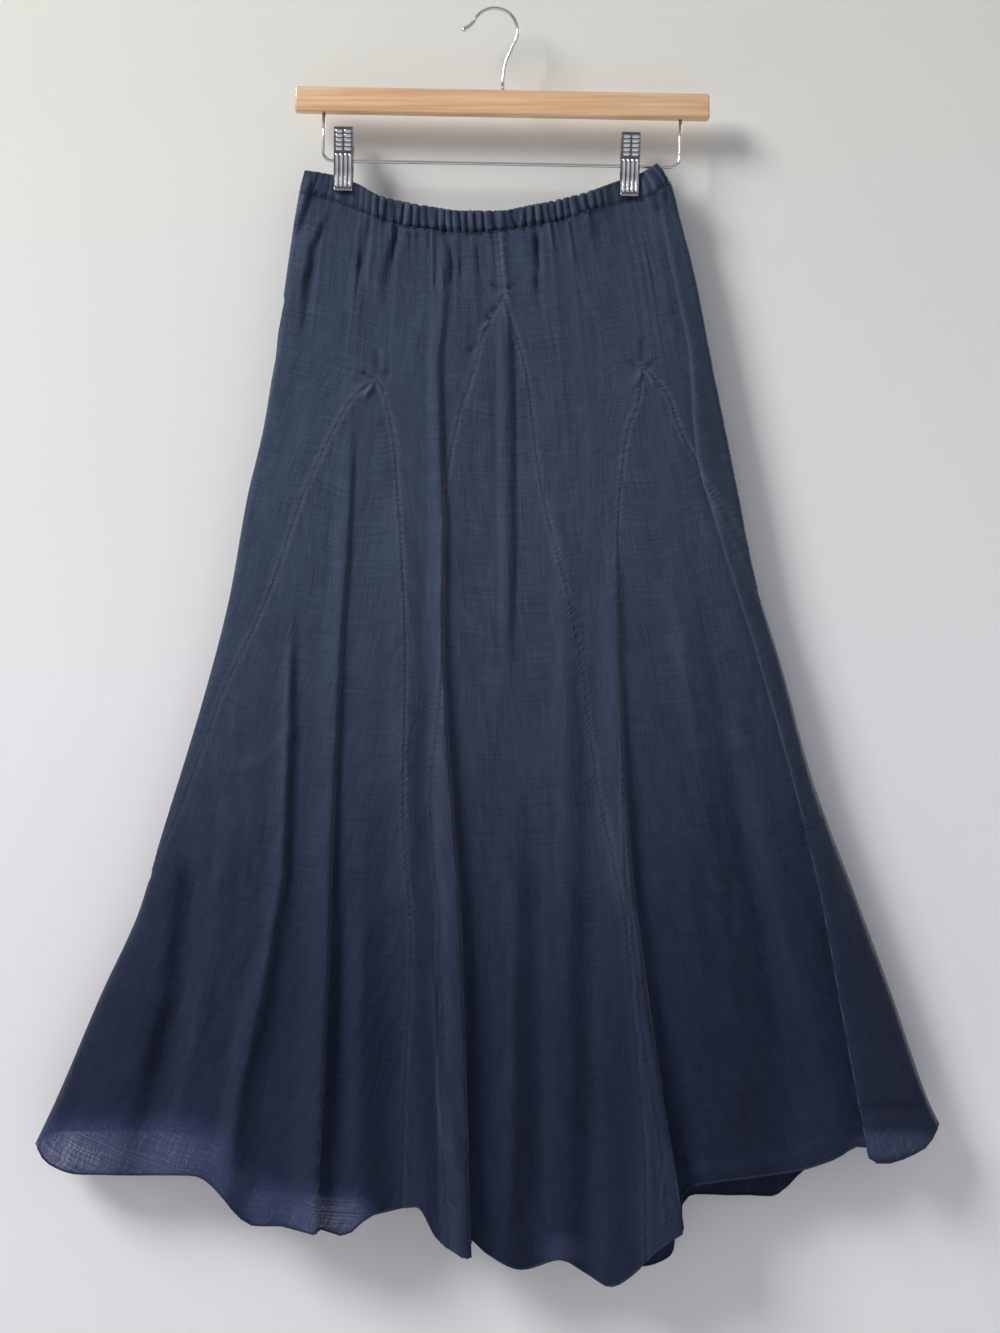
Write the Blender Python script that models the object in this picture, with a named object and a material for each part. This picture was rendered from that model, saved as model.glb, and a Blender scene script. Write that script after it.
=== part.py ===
"""Maxi skirt of washed linen, held by the two clips of a wooden hanger.

Sizes are in millimetres until a mesh is made, which is in metres. X runs to the right, Y away from the
front, and a height is given as a drop below the origin. The origin is the inside top of the hook.

The skirt is one ring of cloth, front and back, cut into panels with slits and godets let into the slits.
A place on it is (r, s). r runs round the ring: 0 at the left edge, 1 at the right edge, 2 at the left
edge again, so the front is 0 to 1 and the back is 1 to 2. s runs down: -1 at the top of the casing, 0 at
its lower seam, 1 at the hem. Folds and outlines are given as they show from the eye, in the plane of the
hanger, and seen() moves each point to its own depth.
"""
from collections import namedtuple
import math

import bmesh
import bpy
import numpy as np
from mathutils import Matrix, Vector

MM = 0.001

# Wall thicknesses and gaps
CLOTH = 1.2
CASING = 2.4
SEAM_GAP = 0.4
TOUCH_GAP = 0.3

# The eye that the outlines were measured from
EYE_X = 4.3
EYE_BACK = 1650.0
EYE_DROP = 564.6

# Outline of the skirt: drop, x
LEFT_EDGE = [(138, -163), (163, -169), (249, -182), (356, -198), (421, -213), (505, -228),
             (580, -247), (722, -290), (773, -305), (848, -339), (937, -377), (975, -395)]
RIGHT_EDGE = [(132, 139), (149, 151), (178, 159), (224, 171), (310, 188), (399, 206), (494, 225),
              (564, 246), (663, 273), (752, 306), (850, 342), (937, 372), (958, 382)]

# Top of the casing, its lower seam and the two hems: x, drop
CASING_TOP = [(-163, 138), (-150, 140), (-139, 142), (-117, 150), (-99, 160), (-58, 169), (-28, 173),
              (4, 173), (27, 169), (52, 164), (79, 157), (103, 148), (126, 140), (139, 132)]
CASING_SEAM = [(-169, 158), (-137, 166), (-113, 175), (-89, 184), (-65, 188), (-22, 192), (3, 190),
               (45, 184), (83, 172), (108, 166), (126, 163), (151, 149)]
FRONT_HEM = [(-395, 975), (-384, 992), (-355, 1001), (-261, 1002), (-235, 1016), (-206, 1045),
             (-187, 1045), (-166, 1053), (-152, 1048), (-131, 1054), (-106, 1036), (-68, 1029),
             (-50, 1056), (-34, 1074), (-21, 1057), (-9, 1068), (24, 1083), (56, 1074), (77, 1085),
             (99, 1098), (119, 1087), (136, 1063), (150, 1050), (166, 1012), (204, 1006), (255, 999),
             (292, 988), (314, 977), (326, 980), (345, 992), (369, 980), (382, 958)]
BACK_HEM = [(-395, 975), (-380, 964), (-300, 963), (-255, 967), (-225, 990), (-200, 1012),
            (-130, 1020), (-60, 1012), (0, 1028), (56, 1036), (100, 1068), (125, 1080), (140, 1072),
            (155, 1036), (170, 1018), (236, 1019), (262, 1000), (300, 966), (345, 950), (370, 946),
            (382, 958)]

# Depth of the ring down the skirt: s, radius of the side edges, extra depth in front, extra behind
DEPTHS = [(0.00, 3.0, 5.0, 3.0), (0.15, 4.5, 9.0, 5.0), (0.40, 6.5, 16.0, 6.0), (0.70, 8.0, 22.0, 6.0),
          (1.00, 9.0, 27.0, 5.0)]
SWELL_POWER = 0.8
# Folds die away over this width at the side edges
EDGE_ROOM = 14.0

# Where the clips squeeze the waist, and how far their grip reaches
CLIP_X = (-130.0, 116.0)
CLIP_HALF_WIDTH = 8.2
GRIP_HALF_GAP = 1.5
GRIP_REACH = 24.0
GRIP_FADE_FROM = 164.0
GRIP_FADE = 70.0

# The casing's right end stands in front of the rail
EAR_FROM = 125.0
EAR_REACH = 12.0
EAR_SHIFT = 7.0
EAR_FADE_FROM = 150.0
EAR_FADE = 30.0

# Gathers of the casing
GATHERS = 90
GATHER_HEIGHT = 1.1
GATHER_DRIFT = ((0.30, 5, 1.0), (0.22, 9, 0.3), (0.10, 17, 2.0))
CASING_BULGE = 0.8
CASING_SCALLOP = 0.7
# How far the casing ends above its seam line, as a share of its height
CASING_LIFT = 0.045

FRONT = 0
BACK = 1

# A fold: its side, its centre line as (drop, x), its half-widths left and right of that line, how far it
# stands out and how far its crest leans to the right. Each pair is the value at the first and last point.
# fade gives the lengths over which it grows from nothing and dies away.
Fold = namedtuple("Fold", "name side line left right out lean fade")

FOLDS = [
    Fold("waist crease far left", FRONT, [(167, -139), (190, -149), (206, -156), (284, -165)],
         (6, 9), (6, 9), (-3, -2), (0, 0), (12, 60)),
    Fold("waist crease left", FRONT, [(178, -110), (208, -113), (250, -118)],
         (6, 8), (6, 8), (-2.5, -2), (0, 0), (8, 40)),
    Fold("waist crease mid left", FRONT, [(186, -83), (214, -89), (262, -94)],
         (6, 8), (6, 8), (-2.5, -2), (0, 0), (8, 50)),
    Fold("waist crease mid right", FRONT, [(188, 36), (228, 37), (262, 38)],
         (6, 8), (6, 8), (-2.5, -2), (0, 0), (8, 40)),
    Fold("left edge hollow", FRONT, [(722, -264), (843, -273), (1000, -304)],
         (14, 30), (14, 30), (-3, -9), (0, 0), (160, 0)),
    Fold("left pressed crease", FRONT, [(509, -175), (663, -180), (771, -187), (891, -211), (1035, -230)],
         (9, 24), (9, 24), (2, 11), (0, -4), (120, 0)),
    Fold("left tuck", FRONT, [(352, -125), (465, -133), (531, -139), (685, -148), (867, -157), (1050, -168)],
         (9, 17), (9, 17), (3, 14), (2, 12), (60, 0)),
    Fold("left hollow", FRONT, [(640, -98), (830, -92), (1030, -88)],
         (20, 32), (20, 32), (-2, -12), (0, 0), (160, 0)),
    Fold("centre tuck", FRONT, [(196, -44), (248, -46), (310, -52), (440, -50), (531, -52), (597, -50),
                                (696, -45), (751, -41), (881, -37), (1054, -35)],
         (6, 15), (7, 15), (3, 16), (0, 11), (20, 0)),
    Fold("centre ridge", FRONT, [(250, 5), (400, 8), (600, 9)],
         (9, 16), (9, 16), (4, 5), (0, 0), (60, 160)),
    Fold("centre hollow", FRONT, [(640, 30), (850, 33), (1060, 34)],
         (14, 26), (14, 26), (-3, -9), (0, 0), (160, 0)),
    Fold("centre right hollow", FRONT, [(722, 78), (1050, 79)],
         (14, 20), (14, 20), (-2, -7), (0, 0), (140, 0)),
    Fold("right tuck", FRONT, [(421, 101), (509, 100), (619, 102), (722, 107), (810, 114), (903, 126),
                               (1050, 148)],
         (8, 34), (8, 16), (2, 18), (1, 13), (90, 0)),
    Fold("right hollow", FRONT, [(560, 176), (760, 208), (1000, 242)],
         (28, 62), (28, 62), (-2, -12), (0, 0), (180, 0)),
    Fold("right side fold", FRONT, [(155, 143), (228, 159), (297, 174), (376, 181), (454, 203), (542, 232),
                                    (652, 265), (776, 297), (868, 315), (985, 338)],
         (6, 18), (9, 40), (3, 20), (-2, -15), (30, 0)),
    Fold("back left tuck", BACK, [(300, -96), (520, -126), (760, -158), (1000, -196)],
         (9, 24), (9, 24), (2, 8), (-2, -9), (80, 0)),
    Fold("back left hollow", BACK, [(520, -190), (760, -230), (970, -286)],
         (22, 40), (22, 40), (-2, -7), (0, 0), (160, 0)),
    Fold("back left inner hollow", BACK, [(420, -70), (700, -92), (1010, -118)],
         (18, 34), (18, 34), (-2, -7), (0, 0), (160, 0)),
    Fold("back centre tuck", BACK, [(230, -12), (480, -20), (760, -24), (1020, -34)],
         (9, 22), (9, 22), (2, 8), (2, 9), (80, 0)),
    Fold("back centre hollow", BACK, [(480, 34), (760, 38), (1040, 44)],
         (20, 34), (20, 34), (-2, -8), (0, 0), (160, 0)),
    Fold("back right tuck", BACK, [(300, 96), (520, 108), (760, 122), (1040, 140)],
         (9, 22), (9, 22), (2, 7), (2, 9), (80, 0)),
    Fold("back right hollow", BACK, [(480, 160), (760, 204), (1000, 250)],
         (24, 44), (24, 44), (-2, -8), (0, 0), (160, 0)),
]

# Levels of the godets' tips, as s
TIP_HIGH = 0.064
TIP_LEFT = 0.158
TIP_RIGHT = 0.168

# Seams. start: (x, s) of its upper end. shown: (x, drop) as seen. hidden: (s, r) where the seam has gone
# round to the back.
Seam = namedtuple("Seam", "name side start shown hidden")

SEAMS = [
    Seam("side_left", FRONT, (-166, 0.0), [(-172, 212), (-181, 251)],
         [(0.30, -0.012), (0.60, -0.050), (1.00, -0.125)]),
    Seam("side_right", BACK, (149, 0.0), [],
         [(0.30, 1.035), (0.60, 1.085), (1.00, 1.155)]),
    Seam("centre_front", FRONT, (2, 0.0), [(7, 247)], []),
    Seam("centre_back", BACK, (2, 0.0), [(2, 250)], []),
    Seam("front_left_outer", FRONT, (-102, TIP_LEFT),
         [(-129, 344), (-159, 404), (-193, 499), (-236, 593), (-271, 688)],
         [(0.75, -0.010), (0.86, -0.040), (1.00, -0.095)]),
    Seam("front_left_inner", FRONT, (-102, TIP_LEFT),
         [(-95, 331), (-83, 421), (-78, 507), (-77, 593), (-76, 740), (-73, 851), (-79, 1015)], []),
    Seam("front_centre_left", FRONT, (7, TIP_HIGH),
         [(-10, 279), (-18, 310), (-30, 346), (-40, 396), (-45, 473), (-47, 593), (-47, 815), (-43, 860),
          (-39, 1058)], []),
    Seam("front_centre_right", FRONT, (7, TIP_HIGH),
         [(27, 312), (36, 384), (64, 509), (79, 597), (99, 717), (114, 802), (125, 934), (130, 1041)], []),
    Seam("front_right_inner", FRONT, (127, TIP_RIGHT),
         [(124, 335), (114, 364), (107, 425), (106, 509), (109, 619), (115, 765), (124, 850), (140, 955),
          (149, 1044)], []),
    Seam("front_right_outer", FRONT, (127, TIP_RIGHT),
         [(149, 332), (159, 360), (185, 414), (200, 438)],
         [(0.37, 0.985), (0.43, 1.000), (0.50, 1.015), (0.62, 1.042), (1.00, 1.110)]),
    Seam("back_left_outer", BACK, (-100, TIP_RIGHT),
         [(-124, 350), (-150, 410), (-176, 520), (-206, 650), (-234, 790), (-262, 960)], []),
    Seam("back_left_inner", BACK, (-100, TIP_RIGHT),
         [(-92, 350), (-84, 430), (-78, 600), (-74, 800), (-70, 1010)], []),
    Seam("back_centre_left", BACK, (2, TIP_HIGH),
         [(-14, 290), (-26, 350), (-36, 510), (-40, 740), (-38, 1020)], []),
    Seam("back_centre_right", BACK, (2, TIP_HIGH),
         [(20, 294), (34, 370), (58, 510), (82, 660), (100, 830), (116, 1070)], []),
    Seam("back_right_inner", BACK, (124, TIP_LEFT),
         [(116, 340), (108, 400), (106, 510), (114, 680), (130, 850), (150, 1030)], []),
    Seam("back_right_outer", BACK, (124, TIP_LEFT),
         [(144, 338), (162, 400), (184, 500), (206, 640), (226, 800), (246, 1000)], []),
]

# A panel: the seams at its two sides above and below the centre apexes, and the godet in its slit
Panel = namedtuple("Panel", "name first first_low last last_low slit columns")
# A godet: its two seams in ring order
Godet = namedtuple("Godet", "name first last columns")

GODETS = [
    Godet("godet_front_left", "front_left_outer", "front_left_inner", 17),
    Godet("godet_front_centre", "front_centre_left", "front_centre_right", 10),
    Godet("godet_front_right", "front_right_inner", "front_right_outer", 14),
    Godet("godet_back_right", "back_right_outer", "back_right_inner", 7),
    Godet("godet_back_centre", "back_centre_right", "back_centre_left", 8),
    Godet("godet_back_left", "back_left_inner", "back_left_outer", 8),
]
PANELS = [
    Panel("front_left_panel", "side_left", "side_left", "centre_front", "front_centre_left",
          "godet_front_left", (7, 7)),
    Panel("front_right_panel", "centre_front", "front_centre_right", "side_right", "side_right",
          "godet_front_right", (7, 6)),
    Panel("back_right_panel", "side_right", "side_right", "centre_back", "back_centre_right",
          "godet_back_right", (6, 5)),
    Panel("back_left_panel", "centre_back", "back_centre_left", "side_left", "side_left",
          "godet_back_left", (5, 6)),
]

# Rows of points down the skirt; the levels of the godets' tips, and those where a godet's seam goes round
# an edge, are added to them
ROWS = (0.0, 0.03, 0.11, 0.21, 0.24, 0.27, 0.34, 0.41, 0.48, 0.55, 0.62, 0.69, 0.735, 0.76,
        0.83, 0.89, 0.95, 1.0)
TIP_STEP = 0.0036
# Above this level the wall's thickness is measured level, so that edges meet at the casing
LEVEL_NORMAL_ABOVE = 0.03
ROW_SPACING_MIN = 0.012
# Length that a turn of one radian counts for when points are shared out round the ring
TURN_WEIGHT = 9.0
NARROWEST_WIDTH = 320.0
# A column is put right on a side edge unless the piece ends nearer to that edge than this, in ring places
EDGE_SNAP = 0.004

# Hanger, in its own level frame with the stem at STEM_X
TILT = 1.09
STEM_X = 7.9
BAR_LENGTH = 356.0
BAR_HEIGHT = 21.5
BAR_DEPTH = 12.0
BAR_TOP_DROP = 70.0
BAR_EDGE = 1.5
WIRE = 1.5
HOOK_RADIUS = 19.8
HOOK_TIP_RADIUS = 2.3
HOOK_TIP_ANGLE = 157.0
HOOK_TURN_ANGLE = -32.0
HOOK_TIP = ((-26.2, 17.2), (-23.9, 15.6), (-21.3, 14.0))
HOOK_NECK = ((13.6, 36.5), (10.4, 43.5), (8.6, 52.0), (7.9, 61.0))
RAIL_HALF = 153.3
RAIL_DROP = 132.4
RAIL_CORNER = 8.0

# Clips, about their pivot on the rail
CLIP_WIDTH = 16.4
CLIP_HALF_HEIGHT = 26.8
CLIP_SHEET = 1.2
# Side line of the front jaw: height above the pivot, distance of its inner face from the middle
JAW_LINE = ((-CLIP_HALF_HEIGHT, 4.6), (-25.2, 3.2), (-14.0, 3.1), (-5.0, 4.6), (4.5, 5.6), (20.0, 8.4),
            (CLIP_HALF_HEIGHT, 9.0))
CHEEK_HALF = 4.2
CHEEK_BACK = 2.6
CHEEK_INSET = 1.6
PIVOT_CLEARANCE = 0.3
SPRING_WIRE = 0.5
SPRING_TURNS = 3.5
SPRING_RADIUS = 2.7
SPRING_PITCH = 1.5
SPRING_LEG = 13.0


def smooth_curve(points):
    """A curve through (place, value) points that never overshoots them; straight beyond its ends."""
    place = np.array([p[0] for p in points], float)
    value = np.array([p[1] for p in points], float)
    step = np.diff(place)
    slope = np.diff(value) / step
    tangent = np.empty_like(value)
    tangent[0] = slope[0]
    tangent[-1] = slope[-1]
    product = slope[:-1] * slope[1:]
    total = slope[:-1] + slope[1:]
    same_way = product > 0
    tangent[1:-1] = np.where(same_way, 2 * product / np.where(same_way, total, 1.0), 0.0)

    def curve(at):
        at = np.asarray(at, float)
        i = np.clip(np.searchsorted(place, at) - 1, 0, len(step) - 1)
        t = (at - place[i]) / step[i]
        inner = ((2 * t**3 - 3 * t**2 + 1) * value[i] + (t**3 - 2 * t**2 + t) * step[i] * tangent[i]
                 + (3 * t**2 - 2 * t**3) * value[i + 1] + (t**3 - t**2) * step[i] * tangent[i + 1])
        low = value[0] + tangent[0] * (at - place[0])
        high = value[-1] + tangent[-1] * (at - place[-1])
        return np.where(t < 0, low, np.where(t > 1, high, inner))

    return curve


def smooth_step(t):
    t = np.clip(t, 0.0, 1.0)
    return t * t * (3 - 2 * t)


left_edge = smooth_curve(LEFT_EDGE)
right_edge = smooth_curve(RIGHT_EDGE)
nose_radius = smooth_curve([(row[0], row[1]) for row in DEPTHS])
front_swell = smooth_curve([(row[0], row[2]) for row in DEPTHS])
back_swell = smooth_curve([(row[0], row[3]) for row in DEPTHS])


def share_across(x, drop):
    """How far across the skirt a point lies at its own height, 0 at the left edge and 1 at the right."""
    left = left_edge(drop)
    return (x - left) / (right_edge(drop) - left)


def level_line(points):
    """A line across the skirt, such as a hem, as drop against the share across."""
    return smooth_curve([(share_across(x, drop), drop) for x, drop in points])


casing_top = level_line(CASING_TOP)
casing_seam = level_line(CASING_SEAM)
front_hem = level_line(FRONT_HEM)
back_hem = level_line(BACK_HEM)


def prepare_fold(fold):
    drops = [drop for drop, x in fold.line]
    return dict(side=fold.side, line=smooth_curve(fold.line), top=drops[0], bottom=drops[-1],
                left=fold.left, right=fold.right, out=fold.out, lean=fold.lean, fade=fold.fade)


READY_FOLDS = [prepare_fold(fold) for fold in FOLDS]


def fold_effect(fold, x, drop):
    """How far one fold lifts the cloth at (x, drop), and how far it pushes it to the right."""
    along = np.clip((drop - fold["top"]) / (fold["bottom"] - fold["top"]), 0.0, 1.0)

    def between(pair):
        return pair[0] + (pair[1] - pair[0]) * along

    strength = smooth_step((drop - fold["top"]) / fold["fade"][0] + 0.25)
    if fold["fade"][1]:
        strength = strength * smooth_step((fold["bottom"] - drop) / fold["fade"][1] + 0.25)
    offset = x - fold["line"](drop)
    width = np.where(offset < 0, between(fold["left"]), between(fold["right"]))
    q = np.clip(offset / width, -1.0, 1.0)
    rise = np.cos(0.5 * np.pi * q) ** 2 * strength
    return rise * between(fold["out"]), rise * between(fold["lean"])


def fold_sum(x, drop, back, room):
    """All folds of the front or the back together, fading out towards the side edges."""
    out = np.zeros(np.broadcast(x, drop).shape)
    lean = np.zeros_like(out)
    for fold in READY_FOLDS:
        lift, push = fold_effect(fold, x, drop)
        here = np.where(back == (fold["side"] == BACK), room, 0.0)
        out = out + lift * here
        lean = lean + push * here
    return out, lean


def clip_grip(x, drop):
    """1 where a clip squeezes front and back together, falling to 0 away from it."""
    near = np.zeros(np.broadcast(x, drop).shape)
    for middle in CLIP_X:
        reach = (np.abs(x - middle) - CLIP_HALF_WIDTH) / GRIP_REACH
        near = np.maximum(near, 1.0 - smooth_step(reach))
    return near * (1.0 - smooth_step((drop - GRIP_FADE_FROM) / GRIP_FADE))


def gather_phase(r):
    """Turns of the gather wave up to ring place r; the drift makes the spacing uneven."""
    turns = GATHERS * 0.5 * np.asarray(r, float)
    for size, waves, start in GATHER_DRIFT:
        turns = turns + size * np.sin(np.pi * waves * r + start)
    return turns


def seen(x, y, drop):
    """The point at depth y that shows at (x, drop) in the hanger's plane, as x, y, z."""
    share = (EYE_BACK + y) / EYE_BACK
    return np.stack([EYE_X + (x - EYE_X) * share, y, -EYE_DROP - (drop - EYE_DROP) * share], axis=-1)


def skirt_point(r, s):
    """Middle of the cloth at ring place r and level s."""
    r, s = np.broadcast_arrays(np.asarray(r, float), np.asarray(s, float))
    ring = np.mod(r, 2.0)
    back = ring > 1.0
    f = np.where(back, 2.0 - ring, ring)
    seam = casing_seam(f)
    hem = np.where(back, back_hem(f), front_hem(f))
    drop = np.where(s < 0, seam + s * (seam - casing_top(f)), seam + s * (hem - seam))
    left = left_edge(drop)
    width = right_edge(drop) - left
    x = left + f * width
    below = np.maximum(s, 0.0)
    nose = nose_radius(below)
    from_edge = np.minimum(f, 1.0 - f) * width
    q = np.clip(from_edge / nose, 0.0, 1.0)
    swell = np.clip(4 * f * (1 - f), 0.0, 1.0) ** SWELL_POWER
    out = nose * np.sqrt(1 - (1 - q) ** 2) + swell * np.where(back, back_swell(below), front_swell(below))
    room = smooth_step(from_edge / EDGE_ROOM)
    lift, push = fold_sum(x, drop, back, room)
    out = out + lift
    grip = clip_grip(x, drop)
    casing_wave = np.where(s < 0, 1.0, 0.0) * (1.0 - grip) * room
    wave = np.cos(2 * np.pi * gather_phase(ring))
    arch = 4 * np.clip(-s, 0, 1) * np.clip(1 + s, 0, 1)
    out = out + casing_wave * (GATHER_HEIGHT * wave + CASING_BULGE * arch)
    drop = drop - casing_wave * CASING_SCALLOP * wave * np.clip(-s, 0, 1) ** 3
    out = out + (GRIP_HALF_GAP - out) * grip
    ear = smooth_step((x - EAR_FROM) / EAR_REACH) * (1 - smooth_step((drop - EAR_FADE_FROM) / EAR_FADE))
    y = np.where(back, out, -out) - EAR_SHIFT * ear
    return seen(x + push, y, drop)


def cloth_frame(r, s, level_normal):
    """Middle point, outward normal and direction round the ring. level_normal is 0 to 1."""
    small = 2e-5
    point = skirt_point(r, s)
    round_way = skirt_point(r + small, s) - skirt_point(r - small, s)
    down_way = skirt_point(r, s + small * 20) - skirt_point(r, s - small * 20)
    normal = np.cross(down_way, round_way)
    normal[:, 2] *= 1.0 - level_normal
    normal /= np.linalg.norm(normal, axis=1)[:, None]
    round_way /= np.linalg.norm(round_way, axis=1)[:, None]
    return point, normal, round_way


def drop_at_level(x, s, side):
    """The drop at which the vertical line x meets level s."""
    drop = CASING_SEAM[0][1]
    for _ in range(6):
        f = np.clip(share_across(x, drop), 0.0, 1.0)
        top = casing_seam(f)
        hem = back_hem(f) if side == BACK else front_hem(f)
        drop = float(top + s * (hem - top))
    return drop


def seam_curve(seam):
    """Ring place of a seam against the level s, from the points where it shows."""
    places = []
    start_x, start_s = seam.start
    for x, drop in [(start_x, drop_at_level(start_x, start_s, seam.side))] + seam.shown:
        base = x
        for _ in range(8):
            from_edge = np.minimum(base - left_edge(drop), right_edge(drop) - base)
            room = smooth_step(from_edge / EDGE_ROOM)
            push = fold_sum(np.array(base), np.array(drop), np.array(seam.side == BACK), room)[1]
            base = base + 0.6 * (x - base - float(push))
        f = float(np.clip(share_across(base, drop), 0.0, 1.0))
        top = float(casing_seam(f))
        hem = float(back_hem(f) if seam.side == BACK else front_hem(f))
        s = (drop - top) / (hem - top)
        places.append((s, 2.0 - f if seam.side == BACK else f))
    places[0] = (start_s, places[0][1])
    places += list(seam.hidden)
    return places[0], smooth_curve(places)


SEAM_START = {}
SEAM_LINE = {}
for each_seam in SEAMS:
    SEAM_START[each_seam.name], SEAM_LINE[each_seam.name] = seam_curve(each_seam)


def godet_tip(godet):
    """Level and ring place where a godet's two seams meet."""
    return SEAM_START[godet.first]


def edge_crossing(name, edge):
    """The level at which a seam goes round a side edge."""
    levels = np.linspace(0.2, 1.0, 801)
    places = SEAM_LINE[name](levels)
    rising = places if places[-1] > places[0] else -places
    return float(np.interp(edge if places[-1] > places[0] else -edge, rising, levels))


def make_rows():
    """All levels, with each godet's tip, the start of its cloth and the edge crossings among them."""
    fixed = [edge_crossing("front_left_outer", 0.0), edge_crossing("front_right_outer", 1.0)]
    for tip in (TIP_HIGH, TIP_LEFT, TIP_RIGHT):
        fixed += [tip, tip + TIP_STEP]
    free = [s for s in ROWS if min(abs(s - t) for t in fixed) > ROW_SPACING_MIN]
    return sorted(fixed + free)


def ring_places(first, last, count, s):
    """count + 1 ring places from first to last, closer together where the cloth turns."""
    samples = list(np.linspace(first, last, 241))
    nose_share = float(nose_radius(max(s, 0.0))) / NARROWEST_WIDTH
    for edge in (0.0, 1.0, 2.0):
        for angle in np.radians(np.arange(0, 91, 15)):
            for way in (-1, 1):
                place = edge + way * nose_share * (1 - math.cos(angle))
                if first < place < last:
                    samples.append(place)
    samples = np.unique(np.array(samples))
    points = skirt_point(samples, s)
    steps = np.diff(points, axis=0)
    lengths = np.linalg.norm(steps, axis=1)
    ways = steps / lengths[:, None]
    turns = np.arccos(np.clip(np.sum(ways[1:] * ways[:-1], axis=1), -1, 1))
    cost = lengths.copy()
    cost[1:] += TURN_WEIGHT * 0.5 * turns
    cost[:-1] += TURN_WEIGHT * 0.5 * turns
    total = np.concatenate([[0.0], np.cumsum(cost)])
    places = np.interp(np.linspace(0, total[-1], count + 1), total, samples)
    for edge in (0.0, 1.0, 2.0):
        if first + EDGE_SNAP < edge < last - EDGE_SNAP:
            nearest = 1 + int(np.argmin(np.abs(places[1:-1] - edge)))
            places[nearest] = edge
    return places


class Wall:
    """Points of a cloth's middle surface and the four-sided cells between them."""

    def __init__(self):
        self.points = []
        self.normals = []
        self.flatness = []
        self.cells = []

    def add_row(self, places, s, level_normal=0.0, trim_first=True, trim_last=True):
        """Adds points at the given ring places, the end ones drawn in by half the seam's gap."""
        point, normal, round_way = cloth_frame(np.array(places), np.full(len(places), s), level_normal)
        if trim_first:
            point[0] += round_way[0] * SEAM_GAP / 2
        if trim_last:
            point[-1] -= round_way[-1] * SEAM_GAP / 2
        start = len(self.points)
        self.points += list(point)
        self.normals += list(normal)
        self.flatness += [None] + [level_normal] * (len(places) - 2) + [None]
        return list(range(start, start + len(places)))

    def join_rows(self, upper, lower, closed=False):
        count = len(upper)
        for i in range(count if closed else count - 1):
            j = (i + 1) % count
            self.cells.append((upper[i], lower[i], lower[j], upper[j]))

    def even_normals(self, points):
        """Each inner point's normal as the mean of its cells', so that a folded cell keeps its thickness."""
        total = np.zeros_like(points)
        for cell in self.cells:
            a, b, c, d = points[list(cell)]
            way = np.cross(c - a, d - b)
            total[list(cell)] += way / np.linalg.norm(way)
        normals = np.array(self.normals)
        for i, flat in enumerate(self.flatness):
            if flat is None:
                continue
            way = total[i] * (1.0, 1.0, 1.0 - flat)
            normals[i] = way / np.linalg.norm(way)
        return normals

    def halves(self, cell, points):
        """The cell's two triangles, split along its shorter diagonal."""
        a, b, c, d = cell
        if np.linalg.norm(points[a] - points[c]) <= np.linalg.norm(points[b] - points[d]):
            return (a, b, c), (a, c, d)
        return (a, b, d), (b, c, d)

    def mesh(self, name, thickness):
        """A closed solid: the middle surface moved out and in, with its free edges closed."""
        points = np.array(self.points)
        normals = self.even_normals(points)
        outer = points + normals * thickness / 2
        inner = points - normals * thickness / 2
        count = len(points)
        faces = []
        edges = {}
        for cell in self.cells:
            for a, b, c in self.halves(cell, points):
                faces.append((a, b, c))
                faces.append((a + count, c + count, b + count))
            for a, b in zip(cell, cell[1:] + cell[:1]):
                edges[(a, b)] = True
        for a, b in edges:
            if (b, a) in edges:
                continue
            if a < b:
                faces += [(b, a, b + count), (a, a + count, b + count)]
            else:
                faces += [(b, a, a + count), (b, a + count, b + count)]
        mesh = bpy.data.meshes.new(name)
        vertices = np.concatenate([outer, inner]) * MM
        mesh.from_pydata([tuple(v) for v in vertices], [], faces)
        mesh.validate()
        return mesh


def clear_scene():
    for old in list(bpy.data.objects):
        bpy.data.objects.remove(old, do_unlink=True)


def make_material(name, colour, roughness, metallic):
    material = bpy.data.materials.new(name)
    material.use_nodes = True
    shader = material.node_tree.nodes["Principled BSDF"]
    shader.inputs["Base Color"].default_value = (*colour, 1.0)
    shader.inputs["Roughness"].default_value = roughness
    shader.inputs["Metallic"].default_value = metallic
    return material


def place_object(name, mesh, material, parent=None):
    mesh.materials.append(material)
    thing = bpy.data.objects.new(name, mesh)
    bpy.context.scene.collection.objects.link(thing)
    thing.parent = parent
    return thing


def smooth_faces(mesh, angle=35.0):
    mesh.shade_smooth()
    mesh.set_sharp_from_angle(angle=math.radians(angle))


def build_casing(material):
    """The gathered waist ring: three points to a gather, three levels."""
    wall = Wall()
    fine = np.linspace(0, 2, 8001)
    start = gather_phase(0.0)
    wanted = start + np.arange(GATHERS * 3) / 3.0
    places = np.interp(wanted, gather_phase(fine), fine)
    for edge in (0.0, 1.0):
        places[int(np.argmin(np.abs(places - edge)))] = edge
    rows = [wall.add_row(places, s, 1.0, False, False) for s in (-1.0, -0.5, -CASING_LIFT)]
    wall.join_rows(rows[0], rows[1], closed=True)
    wall.join_rows(rows[1], rows[2], closed=True)
    mesh = wall.mesh("waistband", CASING)
    smooth_faces(mesh, 60)
    place_object("waistband", mesh, material)


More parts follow.
